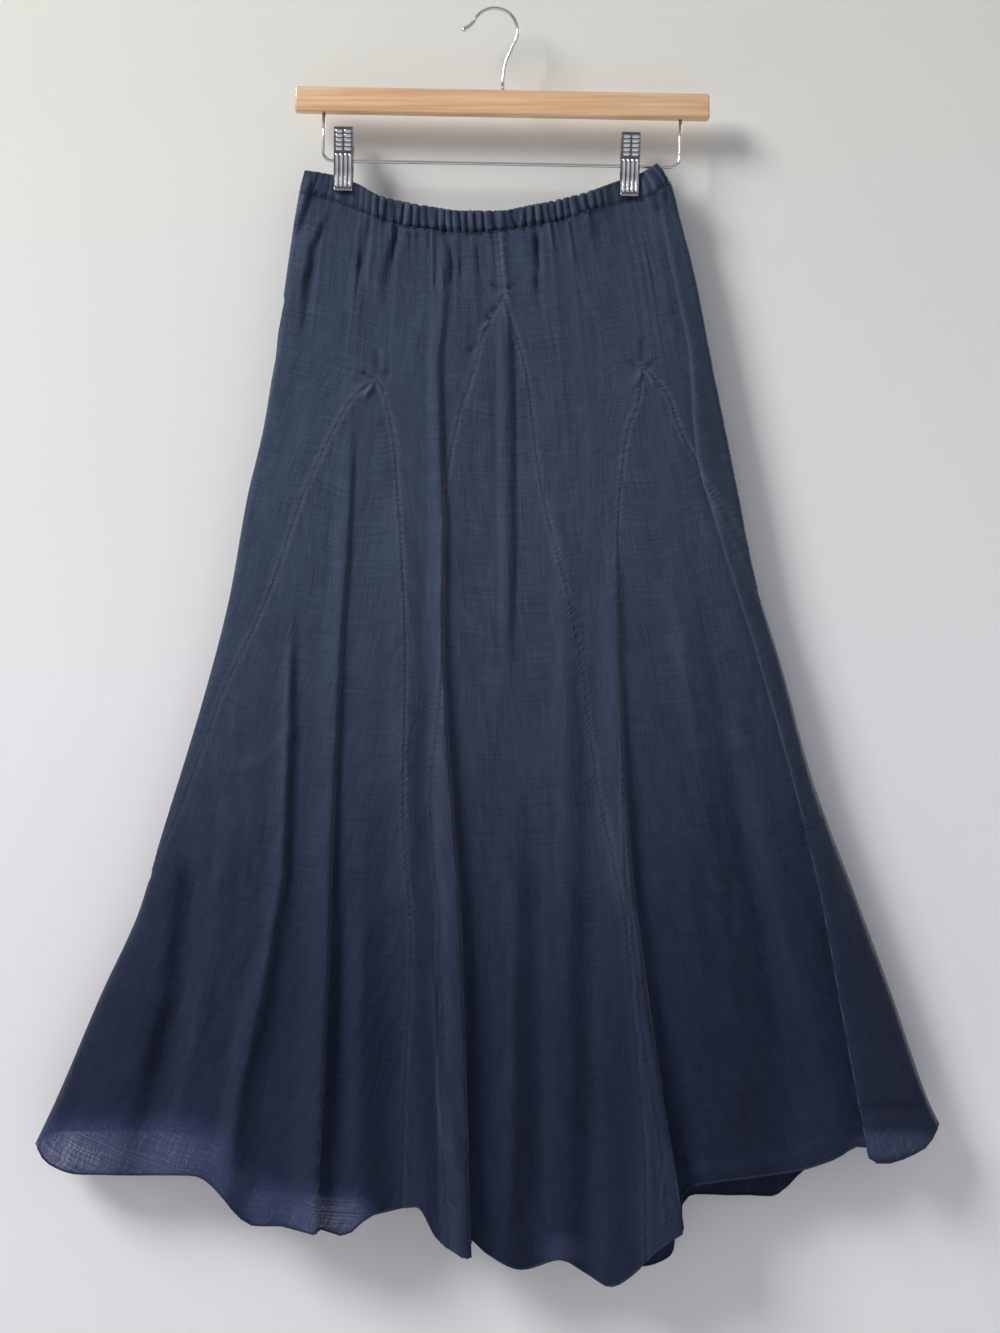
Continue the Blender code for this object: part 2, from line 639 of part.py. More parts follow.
def build_panel(panel, rows, tips, material):
    """A panel with a slit from its godet's tip down to the hem."""
    wall = Wall()
    godet = tips[panel.slit]
    tip_s, tip_r = godet_tip(godet)
    first_count, last_count = panel.columns
    upper = None
    for s in rows:
        split = s > tip_s + 1e-9
        first_line = SEAM_LINE[panel.first]
        last_line = SEAM_LINE[panel.last]
        if panel.first != panel.first_low and s > SEAM_START[panel.first_low][0]:
            first_line = SEAM_LINE[panel.first_low]
        if panel.last != panel.last_low and s > SEAM_START[panel.last_low][0]:
            last_line = SEAM_LINE[panel.last_low]
        first = float(first_line(s))
        last = float(last_line(s))
        if last < first:
            last += 2.0
        level_normal = 1.0 - min(1.0, s / LEVEL_NORMAL_ABOVE)
        if split:
            slit_first = float(SEAM_LINE[godet.first](s))
            slit_last = float(SEAM_LINE[godet.last](s))
            if slit_first > last:
                slit_first -= 2.0
            left_ids = wall.add_row(ring_places(first, slit_first, first_count, s), s, level_normal)
            right_ids = wall.add_row(ring_places(slit_last, last, last_count, s), s, level_normal)
        else:
            places = list(ring_places(first, tip_r, first_count, s))
            places += list(ring_places(tip_r, last, last_count, s))[1:]
            ids = wall.add_row(places, s, level_normal)
            left_ids = ids[:first_count + 1]
            right_ids = ids[first_count:]
        if upper:
            wall.join_rows(upper[0], left_ids)
            wall.join_rows(upper[1], right_ids)
        upper = (left_ids, right_ids)
    mesh = wall.mesh(panel.name, CLOTH)
    smooth_faces(mesh, 60)
    place_object(panel.name, mesh, material)


def build_godet(godet, rows, material):
    """A godet from just below its tip to the hem."""
    wall = Wall()
    start = godet_tip(godet)[0] + TIP_STEP
    upper = None
    for s in rows:
        if s < start - 1e-9:
            continue
        first = float(SEAM_LINE[godet.first](s))
        last = float(SEAM_LINE[godet.last](s))
        ids = wall.add_row(ring_places(first, last, godet.columns, s), s)
        if upper:
            wall.join_rows(upper, ids)
        upper = ids
    mesh = wall.mesh(godet.name, CLOTH)
    smooth_faces(mesh, 60)
    place_object(godet.name, mesh, material)


def tube_mesh(name, path, radii, sides):
    """A closed round rod along a path in the XZ plane or in space, with its own radius at each point."""
    path = [Vector(p) for p in path]
    work = bmesh.new()
    rings = []
    reference = Vector((0, 1, 0))
    for i, point in enumerate(path):
        before = path[max(i - 1, 0)]
        after = path[min(i + 1, len(path) - 1)]
        way = (after - before).normalized()
        side = (reference - way * reference.dot(way)).normalized()
        other = way.cross(side)
        reference = side
        ring = []
        for k in range(sides):
            angle = 2 * math.pi * k / sides
            offset = side * math.cos(angle) + other * math.sin(angle)
            ring.append(work.verts.new((point + offset * radii[i]) * MM))
        rings.append(ring)
    for upper, lower in zip(rings, rings[1:]):
        for k in range(sides):
            j = (k + 1) % sides
            work.faces.new((upper[k], upper[j], lower[j], lower[k]))
    work.faces.new(list(reversed(rings[0])))
    work.faces.new(rings[-1])
    bmesh.ops.recalc_face_normals(work, faces=work.faces)
    mesh = bpy.data.meshes.new(name)
    work.to_mesh(mesh)
    work.free()
    smooth_faces(mesh, 40)
    return mesh


def build_bar(parent, material):
    mesh = bpy.data.meshes.new("hanger_bar")
    work = bmesh.new()
    bmesh.ops.create_cube(work, size=1.0)
    bmesh.ops.scale(work, vec=Vector((BAR_LENGTH, BAR_DEPTH, BAR_HEIGHT)) * MM, verts=work.verts)
    work.to_mesh(mesh)
    work.free()
    bar = place_object("hanger_bar", mesh, material, parent)
    bar.location = (STEM_X * MM, 0, -(BAR_TOP_DROP + BAR_HEIGHT / 2) * MM)
    edge = bar.modifiers.new("rounded edges", "BEVEL")
    edge.width = BAR_EDGE * MM
    edge.segments = 2
    edge.limit_method = "ANGLE"


def build_hook(parent, material):
    """The wire hook: a rounded tip, the bow that holds, an S-shaped neck and a straight stem."""
    centre_drop = HOOK_RADIUS - WIRE
    path = [(x, 0, -drop) for x, drop in HOOK_TIP]
    for angle in np.radians(np.linspace(HOOK_TIP_ANGLE, HOOK_TURN_ANGLE, 20)):
        path.append((HOOK_RADIUS * math.cos(angle), 0, HOOK_RADIUS * math.sin(angle) - centre_drop))
    path += [(x, 0, -drop) for x, drop in HOOK_NECK]
    path.append((STEM_X, 0, -(BAR_TOP_DROP - TOUCH_GAP)))
    first = Vector(path[0])
    way = (first - Vector(path[1])).normalized()
    tip = [tuple(first + way * 2.2), tuple(first + way * 1.7)]
    radii = [0.9, 1.8, HOOK_TIP_RADIUS, 1.8] + [WIRE] * (len(path) - 2)
    mesh = tube_mesh("hanger_hook", tip + path, radii, 8)
    place_object("hanger_hook", mesh, material, parent)


def build_rail(parent, material):
    """The wire rail: two uprights below the bar and the run that the clips slide on."""
    top = -(BAR_TOP_DROP + BAR_HEIGHT + TOUCH_GAP)
    low = -RAIL_DROP
    path = [(-RAIL_HALF, 0, top), (-RAIL_HALF, 0, low + RAIL_CORNER)]
    for angle in np.radians(np.arange(15, 91, 15)):
        path.append((-RAIL_HALF + RAIL_CORNER * (1 - math.cos(angle)), 0,
                     low + RAIL_CORNER * (1 - math.sin(angle))))
    path += [(-x, y, z) for x, y, z in reversed(path)]
    path = [(x + STEM_X, y, z) for x, y, z in path]
    mesh = tube_mesh("hanger_rail", path, [WIRE] * len(path), 8)
    place_object("hanger_rail", mesh, material, parent)


def box_into(work, low, high):
    """Adds a box between two corners, in millimetres."""
    made = bmesh.ops.create_cube(work, size=1.0)["verts"]
    low = Vector(low)
    high = Vector(high)
    bmesh.ops.scale(work, vec=(high - low) * MM, verts=made)
    bmesh.ops.translate(work, vec=(high + low) * MM / 2, verts=made)


def jaw_sheet(name, side):
    """The bent sheet of a jaw. side is -1 for the front jaw and 1 for the back one."""
    work = bmesh.new()
    half = CLIP_WIDTH / 2
    rings = []
    for height, distance in JAW_LINE:
        ring = []
        for x, depth in ((-half, distance), (half, distance), (half, distance + CLIP_SHEET),
                         (-half, distance + CLIP_SHEET)):
            ring.append(work.verts.new(Vector((x, side * depth, height)) * MM))
        rings.append(ring)
    for lower, upper in zip(rings, rings[1:]):
        for k in range(4):
            j = (k + 1) % 4
            work.faces.new((lower[k], lower[j], upper[j], upper[k]))
    work.faces.new(rings[0])
    work.faces.new(rings[-1])
    bmesh.ops.recalc_face_normals(work, faces=work.faces)
    mesh = bpy.data.meshes.new(name)
    work.to_mesh(mesh)
    work.free()
    return mesh


def hidden_tool(name, mesh, parent):
    """A guide for a Boolean, kept out of the model."""
    tool = bpy.data.objects.new(name, mesh)
    bpy.context.scene.collection.objects.link(tool)
    tool.parent = parent
    tool.hide_render = True
    tool.display_type = "WIRE"
    return tool


def add_boolean(thing, tool, operation):
    cut = thing.modifiers.new(operation.lower(), "BOOLEAN")
    cut.operation = operation
    cut.object = tool


def build_jaw(name, side, parent, material):
    """A jaw: its bent sheet, and two cheeks that the rail passes through."""
    jaw = place_object(name, jaw_sheet(name, side), material, parent)
    inset = 0.0 if side < 0 else CHEEK_INSET
    half = CLIP_WIDTH / 2 - inset
    work = bmesh.new()
    for way in (-1, 1):
        inner = way * (half - CLIP_SHEET)
        outer = way * half
        near = -side * CHEEK_BACK
        far = side * (JAW_LINE[4][1] + CLIP_SHEET / 2)
        box_into(work, (min(inner, outer), min(near, far), -CHEEK_HALF),
                 (max(inner, outer), max(near, far), CHEEK_HALF))
    cheeks = bpy.data.meshes.new(name + "_cheeks")
    work.to_mesh(cheeks)
    work.free()
    add_boolean(jaw, hidden_tool(name + "_cheeks", cheeks, parent), "UNION")
    work = bmesh.new()
    turn = Matrix.Rotation(math.radians(90), 4, "Y")
    bmesh.ops.create_cone(work, cap_ends=True, segments=12, radius1=(WIRE + PIVOT_CLEARANCE) * MM,
                          radius2=(WIRE + PIVOT_CLEARANCE) * MM, depth=CLIP_WIDTH * 1.5 * MM, matrix=turn)
    bore = bpy.data.meshes.new(name + "_bore")
    work.to_mesh(bore)
    work.free()
    add_boolean(jaw, hidden_tool(name + "_bore", bore, parent), "DIFFERENCE")


def build_spring(name, parent, material):
    """The clip's spring: a coil round the rail with one leg behind each handle."""
    path = []
    half = SPRING_TURNS * SPRING_PITCH / 2
    handle = JAW_LINE[4][1] + (JAW_LINE[5][1] - JAW_LINE[4][1]) * 0.5
    reach = handle - SPRING_WIRE - TOUCH_GAP
    path.append((-half, -reach, SPRING_LEG))
    steps = round(SPRING_TURNS * 8)
    for i in range(steps + 1):
        angle = math.pi + 2 * math.pi * SPRING_TURNS * i / steps
        path.append((-half + SPRING_PITCH * SPRING_TURNS * i / steps, SPRING_RADIUS * math.cos(angle),
                     SPRING_RADIUS * math.sin(angle)))
    path.append((half, reach, SPRING_LEG))
    mesh = tube_mesh(name, path, [SPRING_WIRE] * len(path), 5)
    place_object(name, mesh, material, parent)


def build_clips(parent, material):
    for side_name, x in (("left", CLIP_X[0]), ("right", CLIP_X[1])):
        seat = bpy.data.objects.new("clip_seat_" + side_name, None)
        bpy.context.scene.collection.objects.link(seat)
        seat.parent = parent
        slope = math.sin(math.radians(TILT))
        seat.location = ((x + RAIL_DROP * slope) * MM, 0, -RAIL_DROP * MM)
        build_jaw("clip_" + side_name + "_front_jaw", -1, seat, material)
        build_jaw("clip_" + side_name + "_back_jaw", 1, seat, material)
        build_spring("clip_" + side_name + "_spring", seat, material)


def build_hanger(wood, steel):
    frame = bpy.data.objects.new("hanger_frame", None)
    bpy.context.scene.collection.objects.link(frame)
    frame.rotation_euler = (0, math.radians(TILT), 0)
    build_bar(frame, wood)
    build_hook(frame, steel)
    build_rail(frame, steel)
    build_clips(frame, steel)


def build_skirt(linen):
    rows = make_rows()
    tips = {godet.name: godet for godet in GODETS}
    build_casing(linen)
    for panel in PANELS:
        build_panel(panel, rows, tips, linen)
    for godet in GODETS:
        build_godet(godet, rows, linen)


def main():
    clear_scene()
    linen = make_material("slate linen", (0.028, 0.041, 0.080), 0.85, 0.0)
    wood = make_material("varnished wood", (0.48, 0.22, 0.085), 0.30, 0.0)
    steel = make_material("bright steel", (0.78, 0.78, 0.78), 0.15, 1.0)
    build_skirt(linen)
    build_hanger(wood, steel)


main()
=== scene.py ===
from collections import namedtuple
import math

import bmesh
import bpy
import numpy as np
from mathutils import Matrix, Vector


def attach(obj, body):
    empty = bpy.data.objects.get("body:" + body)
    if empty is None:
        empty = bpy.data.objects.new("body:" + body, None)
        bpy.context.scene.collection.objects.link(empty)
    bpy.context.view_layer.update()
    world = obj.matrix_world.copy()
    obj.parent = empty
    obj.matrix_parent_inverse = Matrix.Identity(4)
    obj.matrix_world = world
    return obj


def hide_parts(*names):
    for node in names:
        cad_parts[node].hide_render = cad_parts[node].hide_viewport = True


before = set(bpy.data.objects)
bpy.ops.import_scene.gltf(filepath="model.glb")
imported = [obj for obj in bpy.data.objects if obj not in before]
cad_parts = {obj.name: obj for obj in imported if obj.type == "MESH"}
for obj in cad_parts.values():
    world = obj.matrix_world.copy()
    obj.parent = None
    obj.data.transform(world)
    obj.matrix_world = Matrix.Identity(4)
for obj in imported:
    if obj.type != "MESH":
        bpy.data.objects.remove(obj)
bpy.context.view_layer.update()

MM = 0.001
SEED = 11
ROOT = "root"

# The eye that the outlines were measured from
EYE_X = 4.3
EYE_BACK = 1650.0
EYE_DROP = 564.6

# Outline of the skirt: drop, x
LEFT_EDGE = [(138, -163), (163, -169), (249, -182), (356, -198), (421, -213), (505, -228),
             (580, -247), (722, -290), (773, -305), (848, -339), (937, -377), (975, -395)]
RIGHT_EDGE = [(132, 139), (149, 151), (178, 159), (224, 171), (310, 188), (399, 206), (494, 225),
              (564, 246), (663, 273), (752, 306), (850, 342), (937, 372), (958, 382)]

# Top of the casing, its lower seam and the two hems: x, drop
CASING_TOP = [(-163, 138), (-150, 140), (-139, 142), (-117, 150), (-99, 160), (-58, 169), (-28, 173),
              (4, 173), (27, 169), (52, 164), (79, 157), (103, 148), (126, 140), (139, 132)]
CASING_SEAM = [(-169, 158), (-137, 166), (-113, 175), (-89, 184), (-65, 188), (-22, 192), (3, 190),
               (45, 184), (83, 172), (108, 166), (126, 163), (151, 149)]
FRONT_HEM = [(-395, 975), (-384, 992), (-355, 1001), (-261, 1002), (-235, 1016), (-206, 1045),
             (-187, 1045), (-166, 1053), (-152, 1048), (-131, 1054), (-106, 1036), (-68, 1029),
             (-50, 1056), (-34, 1074), (-21, 1057), (-9, 1068), (24, 1083), (56, 1074), (77, 1085),
             (99, 1098), (119, 1087), (136, 1063), (150, 1050), (166, 1012), (204, 1006), (255, 999),
             (292, 988), (314, 977), (326, 980), (345, 992), (369, 980), (382, 958)]
BACK_HEM = [(-395, 975), (-380, 964), (-300, 963), (-255, 967), (-225, 990), (-200, 1012),
            (-130, 1020), (-60, 1012), (0, 1028), (56, 1036), (100, 1068), (125, 1080), (140, 1072),
            (155, 1036), (170, 1018), (236, 1019), (262, 1000), (300, 966), (345, 950), (370, 946),
            (382, 958)]

# Depth of the ring down the skirt: s, radius of the side edges, extra depth in front, extra behind
DEPTHS = [(0.00, 3.0, 5.0, 3.0), (0.15, 4.5, 9.0, 5.0), (0.40, 6.5, 16.0, 6.0), (0.70, 8.0, 22.0, 6.0),
          (1.00, 9.0, 27.0, 5.0)]
SWELL_POWER = 0.8
# Folds die away over this width at the side edges
EDGE_ROOM = 14.0

# Where the clips squeeze the waist, and how far their grip reaches
CLIP_X = (-130.0, 116.0)
CLIP_HALF_WIDTH = 8.2
GRIP_HALF_GAP = 1.5
GRIP_REACH = 24.0
GRIP_FADE_FROM = 164.0
GRIP_FADE = 70.0

# The casing's right end stands in front of the rail
EAR_FROM = 125.0
EAR_REACH = 12.0
EAR_SHIFT = 7.0
EAR_FADE_FROM = 150.0
EAR_FADE = 30.0

# Gathers of the casing
GATHERS = 90
GATHER_HEIGHT = 1.1
GATHER_DRIFT = ((0.30, 5, 1.0), (0.22, 9, 0.3), (0.10, 17, 2.0))
CASING_BULGE = 0.8
CASING_SCALLOP = 0.7

FRONT = 0
BACK = 1

# A fold: its side, its centre line as (drop, x), its half-widths left and right of that line, how far it
# stands out and how far its crest leans to the right. Each pair is the value at the first and last point.
# fade gives the lengths over which it grows from nothing and dies away.
Fold = namedtuple("Fold", "side line left right out lean fade")

FOLDS = [
    # Creases at the waist
    Fold(FRONT, [(167, -139), (190, -149), (206, -156), (284, -165)], (6, 9), (6, 9), (-3, -2), (0, 0),
         (12, 60)),
    Fold(FRONT, [(178, -110), (208, -113), (250, -118)], (6, 8), (6, 8), (-2.5, -2), (0, 0), (8, 40)),
    Fold(FRONT, [(186, -83), (214, -89), (262, -94)], (6, 8), (6, 8), (-2.5, -2), (0, 0), (8, 50)),
    Fold(FRONT, [(188, 36), (228, 37), (262, 38)], (6, 8), (6, 8), (-2.5, -2), (0, 0), (8, 40)),
    # Front, from left to right
    Fold(FRONT, [(722, -264), (843, -273), (1000, -304)], (14, 30), (14, 30), (-3, -9), (0, 0), (160, 0)),
    Fold(FRONT, [(509, -175), (663, -180), (771, -187), (891, -211), (1035, -230)], (9, 24), (9, 24),
         (2, 11), (0, -4), (120, 0)),
    Fold(FRONT, [(352, -125), (465, -133), (531, -139), (685, -148), (867, -157), (1050, -168)], (9, 17),
         (9, 17), (3, 14), (2, 12), (60, 0)),
    Fold(FRONT, [(640, -98), (830, -92), (1030, -88)], (20, 32), (20, 32), (-2, -12), (0, 0), (160, 0)),
    Fold(FRONT, [(196, -44), (248, -46), (310, -52), (440, -50), (531, -52), (597, -50), (696, -45),
         (751, -41), (881, -37), (1054, -35)], (6, 15), (7, 15), (3, 16), (0, 11), (20, 0)),
    Fold(FRONT, [(250, 5), (400, 8), (600, 9)], (9, 16), (9, 16), (4, 5), (0, 0), (60, 160)),
    Fold(FRONT, [(640, 30), (850, 33), (1060, 34)], (14, 26), (14, 26), (-3, -9), (0, 0), (160, 0)),
    Fold(FRONT, [(722, 78), (1050, 79)], (14, 20), (14, 20), (-2, -7), (0, 0), (140, 0)),
    Fold(FRONT, [(421, 101), (509, 100), (619, 102), (722, 107), (810, 114), (903, 126),
         (1050, 148)], (8, 34), (8, 16), (2, 18), (1, 13), (90, 0)),
    Fold(FRONT, [(560, 176), (760, 208), (1000, 242)], (28, 62), (28, 62), (-2, -12), (0, 0), (180, 0)),
    Fold(FRONT, [(155, 143), (228, 159), (297, 174), (376, 181), (454, 203), (542, 232), (652, 265),
         (776, 297), (868, 315), (985, 338)], (6, 18), (9, 40), (3, 20), (-2, -15), (30, 0)),
    # Back, from left to right as seen from the front
    Fold(BACK, [(300, -96), (520, -126), (760, -158), (1000, -196)], (9, 24), (9, 24), (2, 8), (-2, -9),
         (80, 0)),
    Fold(BACK, [(520, -190), (760, -230), (970, -286)], (22, 40), (22, 40), (-2, -7), (0, 0), (160, 0)),
    Fold(BACK, [(420, -70), (700, -92), (1010, -118)], (18, 34), (18, 34), (-2, -7), (0, 0), (160, 0)),
    Fold(BACK, [(230, -12), (480, -20), (760, -24), (1020, -34)], (9, 22), (9, 22), (2, 8), (2, 9),
         (80, 0)),
    Fold(BACK, [(480, 34), (760, 38), (1040, 44)], (20, 34), (20, 34), (-2, -8), (0, 0), (160, 0)),
    Fold(BACK, [(300, 96), (520, 108), (760, 122), (1040, 140)], (9, 22), (9, 22), (2, 7), (2, 9), (80, 0)),
    Fold(BACK, [(480, 160), (760, 204), (1000, 250)], (24, 44), (24, 44), (-2, -8), (0, 0), (160, 0)),
]

# Levels of the godets' tips, as s
TIP_HIGH = 0.064
TIP_LEFT = 0.158
TIP_RIGHT = 0.168

# Seams. start: (x, s) of its upper end. shown: (x, drop) as seen. hidden: (s, r) where the seam has gone
# round to the back.
Seam = namedtuple("Seam", "name side start shown hidden")

SEAMS = [
    Seam("side_left", FRONT, (-166, 0.0), [(-172, 212), (-181, 251)],
         [(0.30, -0.012), (0.60, -0.050), (1.00, -0.125)]),
    Seam("side_right", BACK, (149, 0.0), [],
         [(0.30, 1.035), (0.60, 1.085), (1.00, 1.155)]),
    Seam("centre_front", FRONT, (2, 0.0), [(7, 247)], []),
    Seam("centre_back", BACK, (2, 0.0), [(2, 250)], []),
    Seam("front_left_outer", FRONT, (-102, TIP_LEFT),
         [(-129, 344), (-159, 404), (-193, 499), (-236, 593), (-271, 688)],
         [(0.75, -0.010), (0.86, -0.040), (1.00, -0.095)]),
    Seam("front_left_inner", FRONT, (-102, TIP_LEFT),
         [(-95, 331), (-83, 421), (-78, 507), (-77, 593), (-76, 740), (-73, 851), (-79, 1015)], []),
    Seam("front_centre_left", FRONT, (7, TIP_HIGH),
         [(-10, 279), (-18, 310), (-30, 346), (-40, 396), (-45, 473), (-47, 593), (-47, 815), (-43, 860),
          (-39, 1058)], []),
    Seam("front_centre_right", FRONT, (7, TIP_HIGH),
         [(27, 312), (36, 384), (64, 509), (79, 597), (99, 717), (114, 802), (125, 934), (130, 1041)], []),
    Seam("front_right_inner", FRONT, (127, TIP_RIGHT),
         [(124, 335), (114, 364), (107, 425), (106, 509), (109, 619), (115, 765), (124, 850), (140, 955),
          (149, 1044)], []),
    Seam("front_right_outer", FRONT, (127, TIP_RIGHT),
         [(149, 332), (159, 360), (185, 414), (200, 438)],
         [(0.37, 0.985), (0.43, 1.000), (0.50, 1.015), (0.62, 1.042), (1.00, 1.110)]),
    Seam("back_left_outer", BACK, (-100, TIP_RIGHT),
         [(-124, 350), (-150, 410), (-176, 520), (-206, 650), (-234, 790), (-262, 960)], []),
    Seam("back_left_inner", BACK, (-100, TIP_RIGHT),
         [(-92, 350), (-84, 430), (-78, 600), (-74, 800), (-70, 1010)], []),
    Seam("back_centre_left", BACK, (2, TIP_HIGH),
         [(-14, 290), (-26, 350), (-36, 510), (-40, 740), (-38, 1020)], []),
    Seam("back_centre_right", BACK, (2, TIP_HIGH),
         [(20, 294), (34, 370), (58, 510), (82, 660), (100, 830), (116, 1070)], []),
    Seam("back_right_inner", BACK, (124, TIP_LEFT),
         [(116, 340), (108, 400), (106, 510), (114, 680), (130, 850), (150, 1030)], []),
    Seam("back_right_outer", BACK, (124, TIP_LEFT),
         [(144, 338), (162, 400), (184, 500), (206, 640), (226, 800), (246, 1000)], []),
]

# A panel: the seams at its two sides above and below the centre apexes, and the godet in its slit
Panel = namedtuple("Panel", "name first first_low last last_low slit columns rows")
# A godet: its two seams in ring order
Godet = namedtuple("Godet", "name first last columns rows")

GODETS = [
    Godet("godet_front_left", "front_left_outer", "front_left_inner", 100, 300),
    Godet("godet_front_centre", "front_centre_left", "front_centre_right", 58, 330),
    Godet("godet_front_right", "front_right_inner", "front_right_outer", 84, 300),
    Godet("godet_back_right", "back_right_outer", "back_right_inner", 40, 170),
    Godet("godet_back_centre", "back_centre_right", "back_centre_left", 46, 190),
    Godet("godet_back_left", "back_left_inner", "back_left_outer", 46, 170),
]
PANELS = [
    Panel("front_left_panel", "side_left", "side_left", "centre_front", "front_centre_left",
          "godet_front_left", (46, 38), 350),
    Panel("front_right_panel", "centre_front", "front_centre_right", "side_right", "side_right",
          "godet_front_right", (40, 44), 350),
    Panel("back_right_panel", "side_right", "side_right", "centre_back", "back_centre_right",
          "godet_back_right", (34, 30), 190),
    Panel("back_left_panel", "centre_back", "back_centre_left", "side_left", "side_left",
          "godet_back_left", (30, 34), 190),
]

# Hanger, in its own level frame with the stem at STEM_X
TILT = 1.09
STEM_X = 7.9
BAR_LENGTH = 356.0
BAR_HEIGHT = 21.5
BAR_DEPTH = 12.0
BAR_TOP_DROP = 70.0
BAR_EDGE = 1.5
WIRE = 1.5
HOOK_RADIUS = 19.8
HOOK_TIP_RADIUS = 2.3
HOOK_TIP_ANGLE = 157.0
HOOK_TURN_ANGLE = -32.0
HOOK_TIP = ((-26.2, 17.2), (-23.9, 15.6), (-21.3, 14.0))
HOOK_NECK = ((13.6, 36.5), (10.4, 43.5), (8.6, 52.0), (7.9, 61.0))
RAIL_HALF = 153.3
RAIL_DROP = 132.4
RAIL_CORNER = 8.0

# Clips, about their pivot on the rail
CLIP_WIDTH = 16.4
CLIP_HALF_HEIGHT = 26.8
CLIP_SHEET = 1.2
# Side line of the front jaw: height above the pivot, distance of its inner face from the middle
JAW_LINE = ((-CLIP_HALF_HEIGHT, 4.6), (-25.2, 3.2), (-14.0, 3.1), (-5.0, 4.6), (4.5, 5.6), (20.0, 8.4),
            (CLIP_HALF_HEIGHT, 9.0))
CHEEK_HALF = 4.2
CHEEK_BACK = 2.6
CHEEK_INSET = 1.6
SPRING_WIRE = 0.5
SPRING_TURNS = 3.5
SPRING_RADIUS = 2.7
SPRING_PITCH = 1.5
SPRING_LEG = 13.0


def smooth_curve(points):
    """A curve through (place, value) points that never overshoots them; straight beyond its ends."""
    place = np.array([p[0] for p in points], float)
    value = np.array([p[1] for p in points], float)
    step = np.diff(place)
    slope = np.diff(value) / step
    tangent = np.empty_like(value)
    tangent[0] = slope[0]
    tangent[-1] = slope[-1]
    product = slope[:-1] * slope[1:]
    total = slope[:-1] + slope[1:]
    same_way = product > 0
    tangent[1:-1] = np.where(same_way, 2 * product / np.where(same_way, total, 1.0), 0.0)

    def curve(at):
        at = np.asarray(at, float)
        i = np.clip(np.searchsorted(place, at) - 1, 0, len(step) - 1)
        t = (at - place[i]) / step[i]
        inner = ((2 * t**3 - 3 * t**2 + 1) * value[i] + (t**3 - 2 * t**2 + t) * step[i] * tangent[i]
                 + (3 * t**2 - 2 * t**3) * value[i + 1] + (t**3 - t**2) * step[i] * tangent[i + 1])
        low = value[0] + tangent[0] * (at - place[0])
        high = value[-1] + tangent[-1] * (at - place[-1])
        return np.where(t < 0, low, np.where(t > 1, high, inner))

    return curve


def smooth_step(t):
    t = np.clip(t, 0.0, 1.0)
    return t * t * (3 - 2 * t)


def bell(away, reach, power=2):
    """1 where away is 0, falling off on both sides within about the reach."""
    return np.exp(-(away / reach)**power)


left_edge = smooth_curve(LEFT_EDGE)
right_edge = smooth_curve(RIGHT_EDGE)
nose_radius = smooth_curve([(row[0], row[1]) for row in DEPTHS])
front_swell = smooth_curve([(row[0], row[2]) for row in DEPTHS])
back_swell = smooth_curve([(row[0], row[3]) for row in DEPTHS])


def share_across(x, drop):
    """How far across the skirt a point lies at its own height, 0 at the left edge and 1 at the right."""
    left = left_edge(drop)
    return (x - left) / (right_edge(drop) - left)


def level_line(points):
    """A line across the skirt, such as a hem, as drop against the share across."""
    return smooth_curve([(share_across(x, drop), drop) for x, drop in points])


casing_top = level_line(CASING_TOP)
casing_seam = level_line(CASING_SEAM)
front_hem = level_line(FRONT_HEM)
back_hem = level_line(BACK_HEM)


FOLD_CURVES = [(fold, smooth_curve(fold.line)) for fold in FOLDS]


def fold_effect(fold, curve, x, drop):
    """How far one fold lifts the cloth at (x, drop), and how far it pushes it to the right."""
    top = fold.line[0][0]
    bottom = fold.line[-1][0]
    along = np.clip((drop - top) / (bottom - top), 0.0, 1.0)

    def between(pair):
        return pair[0] + (pair[1] - pair[0]) * along

    grow, die = fold.fade
    strength = smooth_step((drop - top) / grow + 0.25)
    if die:
        strength = strength * smooth_step((bottom - drop) / die + 0.25)
    offset = x - curve(drop)
    width = np.where(offset < 0, between(fold.left), between(fold.right))
    q = np.clip(offset / width, -1.0, 1.0)
    rise = np.cos(0.5 * np.pi * q) ** 2 * strength
    return rise * between(fold.out), rise * between(fold.lean)


def fold_sum(x, drop, back, room):
    """All folds of the front or the back together, fading out towards the side edges."""
    out = np.zeros(np.broadcast(x, drop).shape)
    lean = np.zeros_like(out)
    for fold, curve in FOLD_CURVES:
        lift, push = fold_effect(fold, curve, x, drop)
        here = np.where(back == (fold.side == BACK), room, 0.0)
        out = out + lift * here
        lean = lean + push * here
    return out, lean


def clip_grip(x, drop):
    """1 where a clip squeezes front and back together, falling to 0 away from it."""
    near = np.zeros(np.broadcast(x, drop).shape)
    for middle in CLIP_X:
        reach = (np.abs(x - middle) - CLIP_HALF_WIDTH) / GRIP_REACH
        near = np.maximum(near, 1.0 - smooth_step(reach))
    return near * (1.0 - smooth_step((drop - GRIP_FADE_FROM) / GRIP_FADE))


def gather_phase(r):
    """Turns of the gather wave up to ring place r; the drift makes the spacing uneven."""
    turns = GATHERS * 0.5 * np.asarray(r, float)
    for size, waves, start in GATHER_DRIFT:
        turns = turns + size * np.sin(np.pi * waves * r + start)
    return turns


def seen(x, y, drop):
    """The point at depth y that shows at (x, drop) in the hanger's plane, as x, y, z."""
    share = (EYE_BACK + y) / EYE_BACK
    return np.stack([EYE_X + (x - EYE_X) * share, y, -EYE_DROP - (drop - EYE_DROP) * share], axis=-1)


def ring_width(drop):
    return right_edge(drop) - left_edge(drop)


